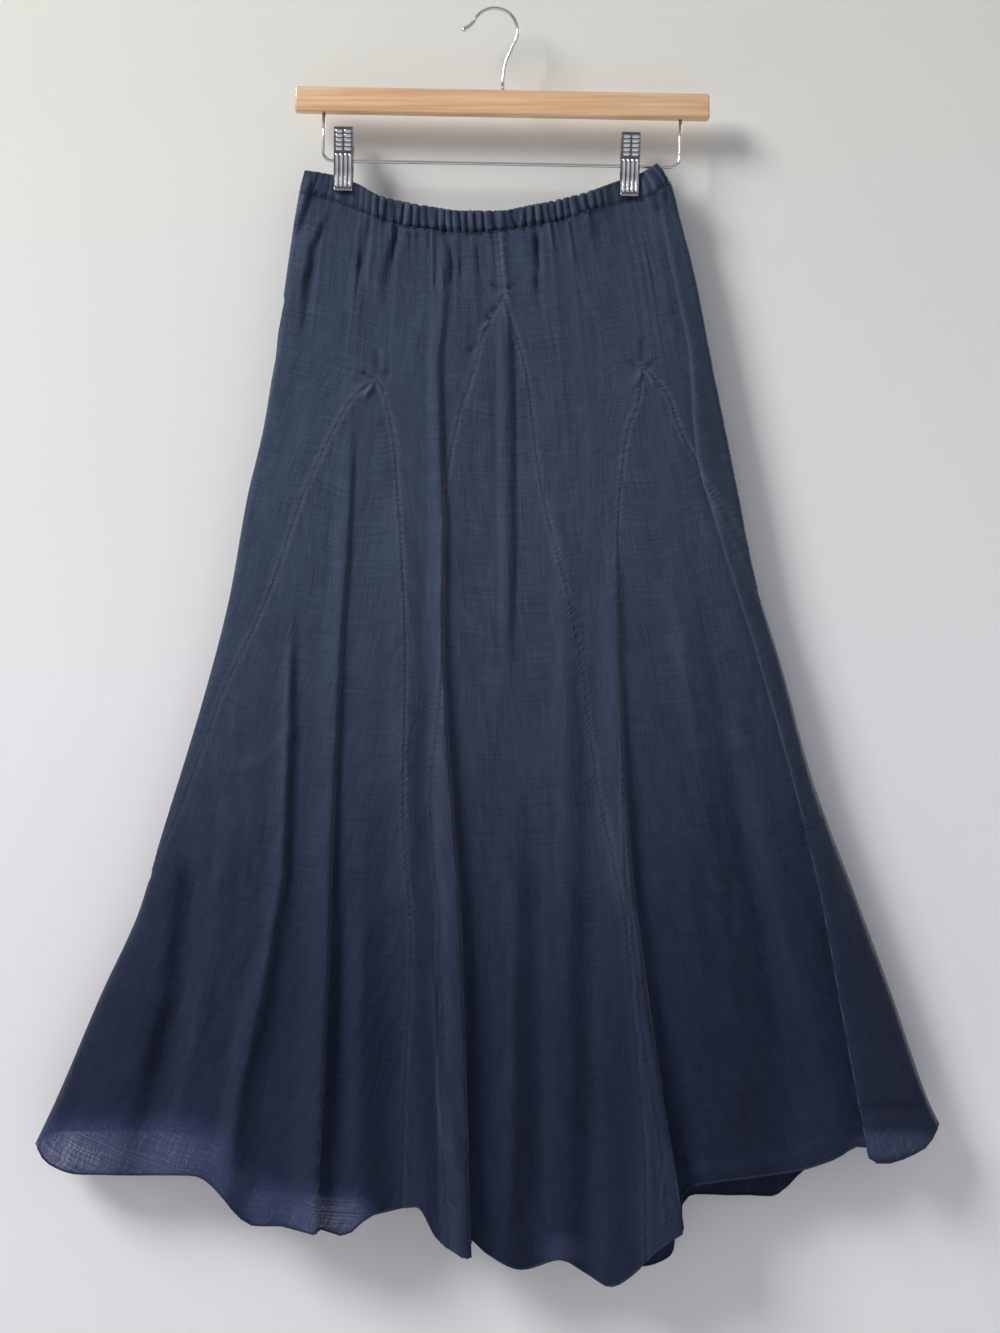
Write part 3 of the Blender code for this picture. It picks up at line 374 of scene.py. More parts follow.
def place_of(r, s):
    """x, drop, ring place, side and share across of points on the ring, before any fold moves them."""
    ring = np.mod(r, 2.0)
    back = ring > 1.0
    f = np.where(back, 2.0 - ring, ring)
    seam = casing_seam(f)
    hem = np.where(back, back_hem(f), front_hem(f))
    drop = np.where(s < 0, seam + s * (seam - casing_top(f)), seam + s * (hem - seam))
    x = left_edge(drop) + f * ring_width(drop)
    return x, drop, ring, back, f, seam, hem


def skirt_point(r, s):
    """Middle of the cloth at ring place r and level s."""
    x, drop, ring, back, f, _, _ = place_of(r, s)
    below = np.maximum(s, 0.0)
    nose = nose_radius(below)
    from_edge = np.minimum(f, 1.0 - f) * ring_width(drop)
    q = np.clip(from_edge / nose, 0.0, 1.0)
    swell = np.clip(4 * f * (1 - f), 0.0, 1.0) ** SWELL_POWER
    out = nose * np.sqrt(1 - (1 - q) ** 2) + swell * np.where(back, back_swell(below), front_swell(below))
    room = smooth_step(from_edge / EDGE_ROOM)
    lift, push = fold_sum(x, drop, back, room)
    out = out + lift
    grip = clip_grip(x, drop)
    casing_wave = np.where(s < 0, 1.0, 0.0) * (1.0 - grip) * room
    wave = np.cos(2 * np.pi * gather_phase(ring))
    arch = 4 * np.clip(-s, 0, 1) * np.clip(1 + s, 0, 1)
    out = out + casing_wave * (GATHER_HEIGHT * wave + CASING_BULGE * arch)
    drop = drop - casing_wave * CASING_SCALLOP * wave * np.clip(-s, 0, 1) ** 3
    out = out + (GRIP_HALF_GAP - out) * grip
    ear = smooth_step((x - EAR_FROM) / EAR_REACH) * (1 - smooth_step((drop - EAR_FADE_FROM) / EAR_FADE))
    y = np.where(back, out, -out) - EAR_SHIFT * ear
    return seen(x + push, y, drop)


# Small steps round the ring and down the skirt, from which the normals come
RING_STEP = 2e-5
LEVEL_STEP = RING_STEP * 20


def cloth_frame(r, s, level_normal):
    """Middle point, outward normal and direction round the ring. level_normal is 0 to 1."""
    point = skirt_point(r, s)
    round_way = skirt_point(r + RING_STEP, s) - skirt_point(r - RING_STEP, s)
    down_way = skirt_point(r, s + LEVEL_STEP) - skirt_point(r, s - LEVEL_STEP)
    normal = np.cross(down_way, round_way)
    normal[:, 2] *= 1.0 - level_normal
    normal /= np.linalg.norm(normal, axis=1)[:, None]
    round_way /= np.linalg.norm(round_way, axis=1)[:, None]
    return point, normal, round_way


def drop_at_level(x, s, side):
    """The drop at which the vertical line x meets level s."""
    drop = CASING_SEAM[0][1]
    for _ in range(6):
        f = np.clip(share_across(x, drop), 0.0, 1.0)
        top = casing_seam(f)
        hem = back_hem(f) if side == BACK else front_hem(f)
        drop = float(top + s * (hem - top))
    return drop


def seam_curve(seam):
    """Ring place of a seam against the level s, from the points where it shows."""
    places = []
    start_x, start_s = seam.start
    for x, drop in [(start_x, drop_at_level(start_x, start_s, seam.side))] + seam.shown:
        base = x
        for _ in range(8):
            from_edge = np.minimum(base - left_edge(drop), right_edge(drop) - base)
            room = smooth_step(from_edge / EDGE_ROOM)
            push = fold_sum(np.array(base), np.array(drop), np.array(seam.side == BACK), room)[1]
            base = base + 0.6 * (x - base - float(push))
        f = float(np.clip(share_across(base, drop), 0.0, 1.0))
        top = float(casing_seam(f))
        hem = float(back_hem(f) if seam.side == BACK else front_hem(f))
        s = (drop - top) / (hem - top)
        places.append((s, 2.0 - f if seam.side == BACK else f))
    places[0] = (start_s, places[0][1])
    places += list(seam.hidden)
    return places[0], smooth_curve(places)


SEAM_START = {}
SEAM_LINE = {}
for each_seam in SEAMS:
    SEAM_START[each_seam.name], SEAM_LINE[each_seam.name] = seam_curve(each_seam)


# Half the thickness of the shells that show, and half the gap at a seam; below 0 they overlap a little
SHELL_HALF = 0.3
CASING_HALF = 0.7
SEAM_HALF_GAP = -0.08
CASING_COLUMNS = 1260
CASING_ROWS = 16
CASING_FOLD = -0.94
CASING_LOWEST = 0.0
RING_LENGTH = 320.0
PANEL_TOP = -0.02
TIP_STEP = 0.0005
# What a level of 1 counts for in the sewing coordinates
LEVEL_LENGTH = 900.0

# Gathers: height and length of each fold below the casing
GATHER_ENTRIES = GATHERS + 12
GATHER_LOW = 0.5
GATHER_HIGH = 3.5
GATHER_SHORT = 16.0
GATHER_LONG = 120.0

# Small creases: half-width, height (a trough is below 0), then the points of its line as (drop, x)
FRONT_CREASES = [
    # Down from the gathered waist
    (4, -2, (140, -150), (158, -156), (176, -164), (197, -172)),
    (3.5, 1.3, (143, -157), (160, -163), (175, -171), (198, -179)),
    (3.5, -1.5, (167, -137), (178, -142), (190, -149), (206, -156), (284, -165)),
    (3.5, 1.1, (169, -143), (183, -150), (201, -157), (229, -164)),
    (3, -1.4, (178, -108), (208, -113), (228, -117)), (3, 0.9, (178, -103), (206, -107), (241, -111)),
    (3, -1.5, (178, -83), (194, -85), (214, -89), (239, -93)), (3, 0.9, (179, -78), (198, -79), (220, -83)),
    (2.8, -1.4, (182, -47), (196, -41), (217, -37), (243, -39)),
    (2.4, -1.1, (198, -31), (217, -29), (243, -31)), (2.4, -1.2, (196, -15), (232, -13), (275, -11)),
    (2.6, -1.4, (191, 36), (217, 37), (249, 36)), (2.6, 0.8, (189, 41), (217, 42), (237, 41)),
    (4, -1.3, (170, 83), (189, 87), (210, 89)), (3.2, -1.8, (140, 125), (150, 132), (161, 138), (177, 143)),
    # On the casing
    (2.2, -1.2, (139, 145), (151, 148), (167, 149)), (1.8, -0.9, (173, 13), (181, 16), (189, 19)),
    (1.8, -0.7, (172, 18), (181, 22), (188, 24)),
    # The centre ridge, then the puckers round the centre tip
    (2.6, -1, (265, 1), (353, 0), (456, 1), (585, 3)),
    (2.6, -1, (265, 17), (361, 18), (473, 18), (585, 15)), (1.8, -1.4, (240, 6), (235, -5)),
    (1.8, -1.4, (240, 9), (235, 20)), (1.8, 1.4, (243, 5), (253, -2)), (1.8, 1.4, (243, 9), (254, 17)),
    (1.8, -1.6, (261, -9), (266, -5), (273, -3)), (1.8, -1.4, (255, 1), (265, -7)),
    (1.8, 1.4, (268, -3), (276, -13)), (2, -1.4, (287, -13), (295, -24)),
    # Round the tips of the side godets
    (2.6, -1.2, (292, -102), (306, -101), (316, -102)), (2.4, 1.4, (292, -96), (310, -96)),
    (2, -1.3, (318, -104), (311, -115)), (2, -1.3, (318, -100), (310, -89)),
    (2, 1.6, (322, -104), (335, -113)), (2, 1.6, (322, -101), (335, -92)),
    (2.6, -1.1, (282, 127), (296, 127), (306, 127)), (2, -1.3, (308, 126), (302, 114)),
    (2, -1.3, (308, 129), (301, 140)), (2, 1.6, (311, 126), (324, 119)), (2, 1.6, (311, 130), (325, 138)),
    # Long runs and ridges, left to right
    (3.2, 1.6, (509, -175), (628, -178), (744, -182), (831, -196), (935, -218), (1036, -228)),
    (4.5, -1.2, (509, -169), (628, -172), (744, -176), (831, -189), (935, -210), (1036, -219)),
    (9, -2, (722, -264), (843, -273), (939, -300)), (8, 1.3, (671, -226), (800, -243), (920, -264)),
    (7, -1.1, (748, -129), (860, -136), (989, -142)), (6, 1.1, (765, -114), (886, -119), (1015, -123)),
    (7, 0.9, (396, -89), (542, -83), (697, -85)), (6.5, -1, (439, -64), (593, -61), (765, -64)),
    (3, 1.8, (815, -58), (836, -52), (882, -50), (961, -45), (1014, -38), (1072, -37)),
    (2.2, -1.1, (980, -40), (1008, -30)), (2.2, -0.9, (961, -42), (986, -33)),
    (7, 1, (361, 52), (542, 57), (731, 60), (903, 58)),
    (7, -1.3, (439, 71), (645, 76), (834, 80), (1023, 82)), (6, -1.3, (722, 34), (869, 36), (1041, 35)),
    (6, 1.2, (731, 15), (886, 15), (1049, 10)), (7, -1.2, (748, 101), (886, 109), (1032, 118)),
    (6, 1.2, (765, 121), (894, 133), (1032, 144)), (8, 1.2, (473, 149), (662, 176), (817, 200), (972, 214)),
    (8, -1.4, (456, 168), (679, 205), (860, 236), (980, 255)), (8, 1, (593, 202), (765, 241), (929, 281)),
    # Near the hem, then the drags of the knees
    (5, 1.3, (994, 159), (994, 211), (982, 262), (971, 297)), (4, -1.1, (945, 323), (943, 348), (942, 372)),
    (4, 1, (955, 329), (954, 350)), (5, -1, (958, -381), (955, -343), (961, -297)),
    (5, 0.9, (611, -168), (645, -200), (655, -231)), (5, 0.9, (593, 178), (630, 212), (635, 236)),
    (3.5, 0.9, (507, -34), (531, -15), (537, -1)),
]
BACK_CREASES = [
    # Down from the waist
    (3.5, -1.6, (168, -118), (196, -124), (246, -131)), (3, -1.4, (184, -84), (214, -86), (262, -92)),
    (3, -1.5, (190, -48), (232, -46), (300, -52)), (2.6, -1.1, (192, -14), (236, -16)),
    (2.8, -1.4, (188, 34), (224, 36), (282, 35)), (3.4, -1.4, (176, 70), (208, 76), (262, 82)),
    (3.4, -1.7, (166, 118), (200, 128), (240, 136)),
    # Round the tips
    (2, 0.9, (252, 0), (262, -12)), (2, 0.9, (252, 4), (263, 15)), (2.6, -1.5, (296, -100), (320, -100)),
    (2.6, -1.5, (292, 124), (316, 124)),
    # Long runs and ridges
    (7, 1.3, (420, -150), (640, -178), (880, -214)), (7, -1.3, (460, -128), (700, -150), (960, -178)),
    (6.5, 1.2, (420, -70), (640, -74), (900, -82)), (6.5, -1.2, (380, -14), (600, -12), (900, -16)),
    (6, 1.2, (420, 14), (660, 20), (960, 28)), (7, -1.2, (440, 70), (700, 84), (980, 100)),
    (7, 1.3, (440, 150), (700, 176), (940, 202)), (7, -1.3, (470, 176), (720, 206), (940, 240)),
    # Drags, and the hem
    (5, 0.9, (560, -60), (596, -96), (604, -140)), (5, 0.9, (640, 60), (668, 96), (672, 140)),
    (5, 1, (930, -240), (940, -180), (932, -120)),
]

# Flat cut of each piece: width, length and area, in metres and square metres
Cut = namedtuple("Cut", "width length area")

CREASE_STRENGTH = 1.45
# A crease is left out of the sum beyond this many of its widths
CREASE_REACH = 2.2
# How uneven a crease is along its length, and what part of it each end takes to fade
CREASE_UNEVEN = 0.22
CREASE_START = 0.16
CREASE_END = 0.22


def line_distance(x, drop, points):
    """Distance from a line of (drop, x) points, and how far along the line the nearest place is, 0 to 1."""
    points = np.array(points, float)
    lengths = np.hypot(*np.diff(points, axis=0).T)
    total = lengths.sum()
    best = np.full(x.shape, 1e9)
    along = np.zeros(x.shape)
    done = 0.0
    for (d0, x0), (d1, x1), length in zip(points[:-1], points[1:], lengths):
        t = ((drop - d0) * (d1 - d0) + (x - x0) * (x1 - x0)) / length**2
        t = np.clip(t, 0.0, 1.0)
        away = np.hypot(drop - d0 - t * (d1 - d0), x - x0 - t * (x1 - x0))
        nearer = away < best
        best = np.where(nearer, away, best)
        along = np.where(nearer, (done + t * length) / total, along)
        done += length
    return best, along


def crease_relief(x, drop, back):
    """Height of all the small creases together, uneven along their length."""
    total = np.zeros(x.shape)
    rows = [(False, row) for row in FRONT_CREASES] + [(True, row) for row in BACK_CREASES]
    for number, (behind, (width, crest, *line)) in enumerate(rows):
        drops, xs = zip(*line)
        reach = width * CREASE_REACH
        near = ((drop > min(drops) - reach) & (drop < max(drops) + reach) & (x > min(xs) - reach)
                & (x < max(xs) + reach) & (back == behind))
        if not near.any():
            continue
        away, along = line_distance(x[near], drop[near], line)
        uneven = 1.0 + CREASE_UNEVEN * np.sin(along * 9.0 + number * 1.7)
        fade = smooth_step(along / CREASE_START + 0.1) * smooth_step((1.0 - along) / CREASE_END + 0.1)
        profile = bell(away, width * (0.8 + 0.2 * uneven))
        total[near] += CREASE_STRENGTH * crest * uneven * fade * profile
    return total


SEAM_FAR = 60.0
SLOPE_STEP = 0.005


def seam_distance(r, s, drop):
    """Distance of each point from the nearest lengthwise seam, SEAM_FAR at most."""
    best = np.full(r.shape, SEAM_FAR)
    length = front_hem(0.5) - casing_seam(0.5)
    for seam in SEAMS:
        start = SEAM_START[seam.name][0]
        line = SEAM_LINE[seam.name]
        away = np.mod(r - line(s) + 1.0, 2.0) - 1.0
        width = ring_width(drop)
        slope = (line(s + SLOPE_STEP) - line(s - SLOPE_STEP)) / (2 * SLOPE_STEP) * width / length
        sideways = np.abs(away) * width / np.sqrt(1.0 + slope**2)
        beyond = np.maximum(start - s, 0.0) * length
        if seam.name.startswith("centre"):
            beyond = np.maximum(s - TIP_HIGH, 0.0) * length
        best = np.minimum(best, np.hypot(sideways, beyond))
    return best


def uneven_phase(ring):
    """The turns of the gathers, some drawn together and some spread apart."""
    return gather_phase(ring) + 0.17 * np.sin(61.0 * ring + 2.0) + 0.07 * np.sin(139.0 * ring + 1.0)


def gather_number(turns):
    """Which entry of the lists of uneven gathers each place takes."""
    return np.clip(np.round(turns).astype(int) + 4, 0, GATHER_ENTRIES - 1)


def gather_relief(ring, below):
    """Folds that run down from the gathered casing, each with its own height and length."""
    random = np.random.default_rng(SEED)
    heights = random.uniform(GATHER_LOW, GATHER_HIGH, GATHER_ENTRIES)
    lengths = random.uniform(GATHER_SHORT, GATHER_LONG, GATHER_ENTRIES)
    turns = uneven_phase(ring)
    which = gather_number(turns)
    rise = 0.5 + 0.5 * np.cos(2 * np.pi * turns)
    return heights[which] * rise * bell(np.maximum(below, 0.0), lengths[which], 1.2)


RIPPLE_HEIGHT = 0.55
SMALL_RIPPLE_HEIGHT = 0.32
RIPPLE_FROM = 260.0
RIPPLE_GROW = 300.0


def ripple(x, drop, back):
    """Low, long ripples of washed linen, stronger towards the hem."""
    turn = np.where(back, 1.9, 0.0)
    waves = (np.sin(x / 17.0 + 1.3 * np.sin(drop / 150.0 + turn) + turn)
             * np.sin(drop / 118.0 + 0.8 + x / 90.0 + turn))
    small = (np.sin(x / 6.3 + drop / 71.0 + turn * 2) * np.sin(drop / 29.0 - x / 33.0 + turn)
             * np.sin(drop / 83.0 + x / 21.0))
    grown = smooth_step((drop - RIPPLE_FROM) / RIPPLE_GROW)
    return RIPPLE_HEIGHT * waves * grown + SMALL_RIPPLE_HEIGHT * small


# Where a single layer lets the light through at the hem: x, drop, how far each way, and how much
SHEER_PLACES = [(-352, 982, 66, 28, 0.95), (-288, 982, 60, 28, 0.9), (-236, 1006, 30, 20, 0.45),
                (-197, 1028, 26, 22, 0.6), (-160, 1038, 26, 24, 0.85), (-128, 1040, 22, 24, 0.9),
                (60, 1066, 20, 14, 0.3), (346, 976, 36, 13, 0.7)]
SHEER_LEAST = 0.02


def sheer_places(x, drop, back):
    """0 where the cloth hides what is behind it, up to 1 in the thin places at the hem."""
    total = np.zeros(x.shape)
    for middle, level, wide, high, strength in SHEER_PLACES:
        away = ((x - middle) / wide)**2 + ((drop - level) / high)**2
        total = np.maximum(total, strength * bell(away, 1.0))
    return np.where((total > SHEER_LEAST) & ~back, total, 0.0)


# How far in from the sides of the skirt the gathers, and the ripples, reach their full height
GATHER_EDGE = 7.0
CALM_EDGE = 34.0


# The ridge of the seam allowance beside a seam: how high, how far from it, and its half width
RIDGE_HEIGHT = 0.30
RIDGE_AWAY = 2.6
RIDGE_HALF = 1.9
# The puckers along a seam: how high, how far they reach, and their length and its changes
PUCKER_HEIGHT = 0.60
PUCKER_REACH = 5.5
PUCKER_LENGTH = 7.3
PUCKER_CHANGES = (19.0, 41.0)
# The small wave of the hem
HEM_WAVE_HEIGHT = 0.9
HEM_WAVE_REACH = 15.0
# How much the cloth is worn at the seams, and for each mm of fold, crease and gather
SEAM_WEAR = 0.22
FOLD_WEAR = 0.006
CREASE_WEAR = 0.07
GATHER_WEAR = 0.06
WORN_GATHER = 0.9
# Painted shade: how much darker the colour is painted in the hollows of creases and folds, and under the
# casing
CREASE_SHADE = 0.13
FOLD_SHADE = 0.018
CASING_SHADE = 0.20
CASING_SHADE_REACH = 14.0
SHADED_GATHER = 1.4


def cloth_relief(r, s):
    """What the fine cloth adds to the plain form: its height, seam distance, worn places with painted
    shade, and sheer places.
    """
    x, drop, ring, back, f, seam, hem = place_of(r, s)
    edge = np.minimum(f, 1.0 - f) * ring_width(drop)
    room = smooth_step(edge / GATHER_EDGE)
    near_seam = seam_distance(ring, s, drop)
    along = drop + 0.35 * x
    pucker = (np.cos(along * 2 * np.pi / PUCKER_LENGTH + 2.0 * np.sin(along / PUCKER_CHANGES[0]))
              * np.sin(along / PUCKER_CHANGES[1] + ring * 5.0))
    ridge = (RIDGE_HEIGHT * bell(near_seam - RIDGE_AWAY, RIDGE_HALF)
             + PUCKER_HEIGHT * pucker * bell(near_seam, PUCKER_REACH))
    gathers = gather_relief(ring, drop - seam)
    hem_wave = (HEM_WAVE_HEIGHT * np.sin(x / 8.5 + 1.5 * np.sin(x / 31.0))
                * bell(np.maximum(hem - drop, 0.0), HEM_WAVE_REACH, 1))
    creases = crease_relief(x, drop, back)
    loose = 1.0 - clip_grip(x, drop)
    calm = smooth_step(edge / CALM_EDGE)
    ridge = ridge * (0.1 + 0.9 * calm)
    height = gathers * loose * room + ridge + creases * loose * room
    height = height + (hem_wave + ripple(x, drop, back)) * calm * loose
    lift = fold_sum(x, drop, back, room)[0]
    wear_and_painted_light = SEAM_WEAR * bell(near_seam - 2.4, 1.8) + FOLD_WEAR * np.maximum(lift, 0.0)
    wear_and_painted_light += CREASE_WEAR * np.maximum(creases, 0.0) + GATHER_WEAR * np.maximum(gathers - WORN_GATHER, 0.0)
    # Painted shade: the hollows of creases and folds get a darker tone
    wear_and_painted_light += CREASE_SHADE * np.minimum(creases, 0.0) + FOLD_SHADE * np.minimum(lift, 0.0)
    # Painted shade just below the casing, where the gathers sink
    wear_and_painted_light -= (CASING_SHADE * bell(np.maximum(drop - seam, 0.0), CASING_SHADE_REACH, 1)
             * np.clip(SHADED_GATHER - gathers, 0.0, 1.0))
    return height, near_seam, np.clip(wear_and_painted_light, -0.6, 1.0), sheer_places(x, drop, back)


def running_length(points, axis=0):
    """Length along each row of points from its first one."""
    steps = np.linalg.norm(np.diff(points, axis=axis), axis=-1)
    start = np.zeros_like(np.take(steps, [0], axis))
    return np.concatenate([start, np.cumsum(steps, axis=axis)], axis=axis)


def grid_cells(numbers):
    """The four-sided cells of a grid of point numbers."""
    corners = [numbers[:-1, :-1], numbers[1:, :-1], numbers[1:, 1:], numbers[:-1, 1:]]
    return np.stack(corners, axis=-1).reshape(-1, 4)


class Shell:
    """A thin closed shell of cloth made of grids of points."""

    def __init__(self):
        self.points = []
        self.normals = []
        self.facts = []
        self.cells = []
        self.count = 0
        self.reached = None

    def add_grid(self, r, levels, known=None):
        """Adds a row of places for each level. known holds numbers of points there already, or -1."""
        rows, columns = r.shape
        flat_r = r.ravel()
        flat_s = np.repeat(levels, columns)
        point, normal, round_way = cloth_frame(flat_r, flat_s, 0.0)
        height, near_seam, wear_and_painted_light, sheer = cloth_relief(flat_r, flat_s)
        point = (point + normal * height[:, None]).reshape(rows, columns, 3)
        round_way = round_way.reshape(rows, columns, 3)
        if known is None:
            known = np.full((rows, columns), -1)
        first_free = known[:, 0] < 0
        point[first_free, 0] += round_way[first_free, 0] * SEAM_HALF_GAP
        point[:, -1] -= round_way[:, -1] * SEAM_HALF_GAP
        across = running_length(point, 1)
        down = running_length(point)
        if self.count == 0:
            across = across - across[:, columns // 2:columns // 2 + 1]
        else:
            across = across + self.reached[:, None]
        self.reached = across[:, -1]
        new = known < 0
        numbers = known.copy()
        numbers[new] = self.count + np.arange(int(new.sum()))
        self.count += int(new.sum())
        keep = new.ravel()
        facts = np.stack([across.ravel(), down.ravel(), near_seam, flat_s * LEVEL_LENGTH, wear_and_painted_light, sheer],
                         axis=1)
        self.points.append(point.reshape(-1, 3)[keep])
        self.normals.append(normal[keep] * SHELL_HALF)
        self.facts.append(facts[keep])
        self.cells.append(grid_cells(numbers))
        return numbers, point

    def make(self, name):
        points = np.concatenate(self.points)
        offset = np.concatenate(self.normals)
        return closed_mesh(name, points + offset, points - offset, np.concatenate(self.cells),
                           np.concatenate(self.facts))


# Faces that meet at more than this keep a crisp edge between them
SHARP_ANGLE = 62.0


def closed_mesh(name, outer, inner, cells, facts):
    """An outer and an inner face joined at their free edges. facts: weave, sewing, worn places with painted
    light and shade, and sheer.
    """
    count = len(outer)
    edges = np.concatenate([cells[:, [k, (k + 1) % 4]] for k in range(4)])
    free = edges[~np.isin(edges[:, 0] * count + edges[:, 1], edges[:, 1] * count + edges[:, 0])]
    rim = np.stack([free[:, 1], free[:, 0], free[:, 0] + count, free[:, 1] + count], axis=1)
    faces = np.concatenate([cells, cells[:, ::-1] + count, rim]).astype(np.int32)
    mesh = bpy.data.meshes.new(name)
    mesh.vertices.add(2 * count)
    mesh.vertices.foreach_set("co", (np.concatenate([outer, inner]) * MM).astype(np.float32).ravel())
    mesh.loops.add(faces.size)
    mesh.loops.foreach_set("vertex_index", faces.ravel())
    mesh.polygons.add(len(faces))
    mesh.polygons.foreach_set("loop_start", np.arange(0, faces.size, 4, dtype=np.int32))
    mesh.update(calc_edges=True)
    source = faces.ravel() % count
    for layer, column in (("weave", 0), ("sewing", 2)):
        places = (facts[source, column:column + 2] * MM).astype(np.float32)
        mesh.uv_layers.new(name=layer).data.foreach_set("uv", places.ravel())
    # One attribute carries the worn places together with painted shade and highlight, another the sheer
    # places
    for layer, column in (("wear_and_painted_light", 4), ("sheer", 5)):
        values = np.tile(facts[:, column], 2).astype(np.float32)
        mesh.attributes.new(layer, "FLOAT", "POINT").data.foreach_set("value", values)
    thin = (facts[faces % count, 5].max(axis=1) > 0.0).astype(np.int32)
    if thin.any():
        mesh.attributes.new("material_index", "INT", "FACE").data.foreach_set("value", thin)
    mesh.shade_smooth()
    mesh.set_sharp_from_angle(angle=math.radians(SHARP_ANGLE))
    return mesh


def place_object(name, mesh, material, slot, *nodes, matrix=None):
    """Puts a piece in the scene on the root body, in place of the given CAD nodes."""
    for each in material if isinstance(material, list) else [material]:
        mesh.materials.append(each)
    if matrix is not None:
        mesh.transform(matrix)
    thing = bpy.data.objects.new(name, mesh)
    bpy.context.scene.collection.objects.link(thing)
    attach(thing, ROOT)
    if nodes:
        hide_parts(*nodes)
    return thing


SIDE_EDGES = (-1.0, 0.0, 1.0, 2.0)
SIDE_SNAP = 0.004


def even_grid(first, last, columns):
    """Ring places spread evenly over each row, with one column kept on a side edge of the skirt."""
    share = np.linspace(0.0, 1.0, columns + 1)
    grid = first[:, None] + (last - first)[:, None] * share
    for row, (start, end) in enumerate(zip(first, last)):
        for edge in SIDE_EDGES:
            if start + SIDE_SNAP < edge < end - SIDE_SNAP:
                column = int(round((edge - start) / (end - start) * columns))
                column = min(max(column, 1), columns - 1)
                grid[row, :column + 1] = np.linspace(start, edge, column + 1)
                grid[row, column:] = np.linspace(edge, end, columns - column + 1)
    return grid


def seam_places(name, low_name, levels):
    """Ring places of a panel's side, which changes to another seam below its start."""
    places = SEAM_LINE[name](levels)
    if low_name != name:
        places = np.where(levels > SEAM_START[low_name][0], SEAM_LINE[low_name](levels), places)
    return places


def tube(path, radii, sides):
    """Points, faces and places along and round of a round rod along a path."""
    path = np.array(path, float)
    radii = np.broadcast_to(np.array(radii, float), (len(path),))
    way = np.gradient(path, axis=0)
    way /= np.linalg.norm(way, axis=1)[:, None]
    side = np.zeros_like(path)
    reference = np.array([0.0, 1.0, 0.0]) if abs(way[0, 1]) < 0.9 else np.array([1.0, 0.0, 0.0])
    for i in range(len(path)):
        reference = reference - way[i] * reference.dot(way[i])
        reference = reference / np.linalg.norm(reference)
        side[i] = reference
    other = np.cross(way, side)
    angles = np.linspace(0, 2 * np.pi, sides, endpoint=False)
    ring = side[:, None] * np.cos(angles)[None, :, None] + other[:, None] * np.sin(angles)[None, :, None]
    points = path[:, None] + ring * radii[:, None, None]
    numbers = np.arange(len(path) * sides).reshape(-1, sides)
    after = np.roll(numbers, -1, axis=1)
    quads = np.stack([numbers[:-1], after[:-1], after[1:], numbers[1:]], axis=-1)
    faces = quads.reshape(-1, 4).tolist() + [numbers[0, ::-1].tolist(), numbers[-1].tolist()]
    along = np.repeat(running_length(path), sides)
    return points.reshape(-1, 3), faces, np.stack([along, np.tile(angles, len(path))], axis=1)


def join_tubes(name, tubes):
    """One mesh of several rods, with the way along and round each as its UVs."""
    faces = []
    start = 0
    for vertices, each_faces, _ in tubes:
        faces += [[n + start for n in face] for face in each_faces]
        start += len(vertices)
    points = np.concatenate([each[0] for each in tubes]) * MM
    places = np.concatenate([each[2] for each in tubes])
    mesh = bpy.data.meshes.new(name)
    mesh.from_pydata(points.tolist(), [], faces)
    thread = mesh.uv_layers.new(name="thread")
    source = np.empty(len(mesh.loops), np.int32)
    mesh.loops.foreach_get("vertex_index", source)
    thread.data.foreach_set("uv", (places[source] * (MM, 1.0)).astype(np.float32).ravel())
    mesh.shade_smooth()
    return mesh


HEM_RADIUS = 1.05
HEM_LIFT = 0.3
HEM_SIDES = 6


def place_cloth(name, shell, edges, linen, thread):
    """The shell of one piece, and the merrowed edge along its lower rows of points."""
    made = []
    for edge in edges:
        edge = edge[::2] if len(edge) % 2 else np.concatenate([edge[::2], edge[-1:]])
        radii = np.full(len(edge), HEM_RADIUS)
        radii[0] = radii[-1] = HEM_RADIUS * 0.6
        made.append(tube(edge + (0.0, 0.0, HEM_LIFT), radii, HEM_SIDES))
    cloth = place_object(name + "_cloth", shell.make(name + "_cloth"), linen, "linen", name)
    hem = place_object(name + "_hem", join_tubes(name + "_hem", made), thread, "linen")
    return cloth, hem


def build_panel(panel, godets, linen, thread):
    """A panel in two strips, which are joined above its slit."""
    godet = godets[panel.slit]
    tip_s, tip_r = SEAM_START[godet.first]
    above = np.linspace(PANEL_TOP, tip_s, max(4, int((tip_s - PANEL_TOP) * panel.rows * 1.15)))
    below = np.linspace(tip_s, 1.0, int((1.0 - tip_s) * panel.rows))[1:]
    levels = np.concatenate([above, [tip_s + TIP_STEP], below])
    split = levels > tip_s + TIP_STEP / 2
    first = seam_places(panel.first, panel.first_low, levels)
    last = seam_places(panel.last, panel.last_low, levels)
    last = np.where(last < first, last + 2.0, last)
    slit = [np.where(split, SEAM_LINE[seam](levels), tip_r) for seam in (godet.first, godet.last)]
    slit = [np.where(places > last, places - 2.0, places) for places in slit]
    shell = Shell()
    left_columns, right_columns = panel.columns
    left_ids, left_points = shell.add_grid(even_grid(first, slit[0], left_columns), levels)
    right_r = even_grid(slit[1], last, right_columns)
    known = np.full(right_r.shape, -1)
    known[~split, 0] = left_ids[~split, -1]
    right_points = shell.add_grid(right_r, levels, known)[1]
    return place_cloth(panel.name, shell, [left_points[-1], right_points[-1]], linen, thread)


def build_godet(godet, linen, thread):
    tip_s = SEAM_START[godet.first][0]
    levels = np.linspace(tip_s + TIP_STEP, 1.0, int((1.0 - tip_s) * godet.rows))
    shell = Shell()
    r = even_grid(SEAM_LINE[godet.first](levels), SEAM_LINE[godet.last](levels), godet.columns)
    points = shell.add_grid(r, levels)[1]
    return place_cloth(godet.name, shell, [points[-1]], linen, thread)


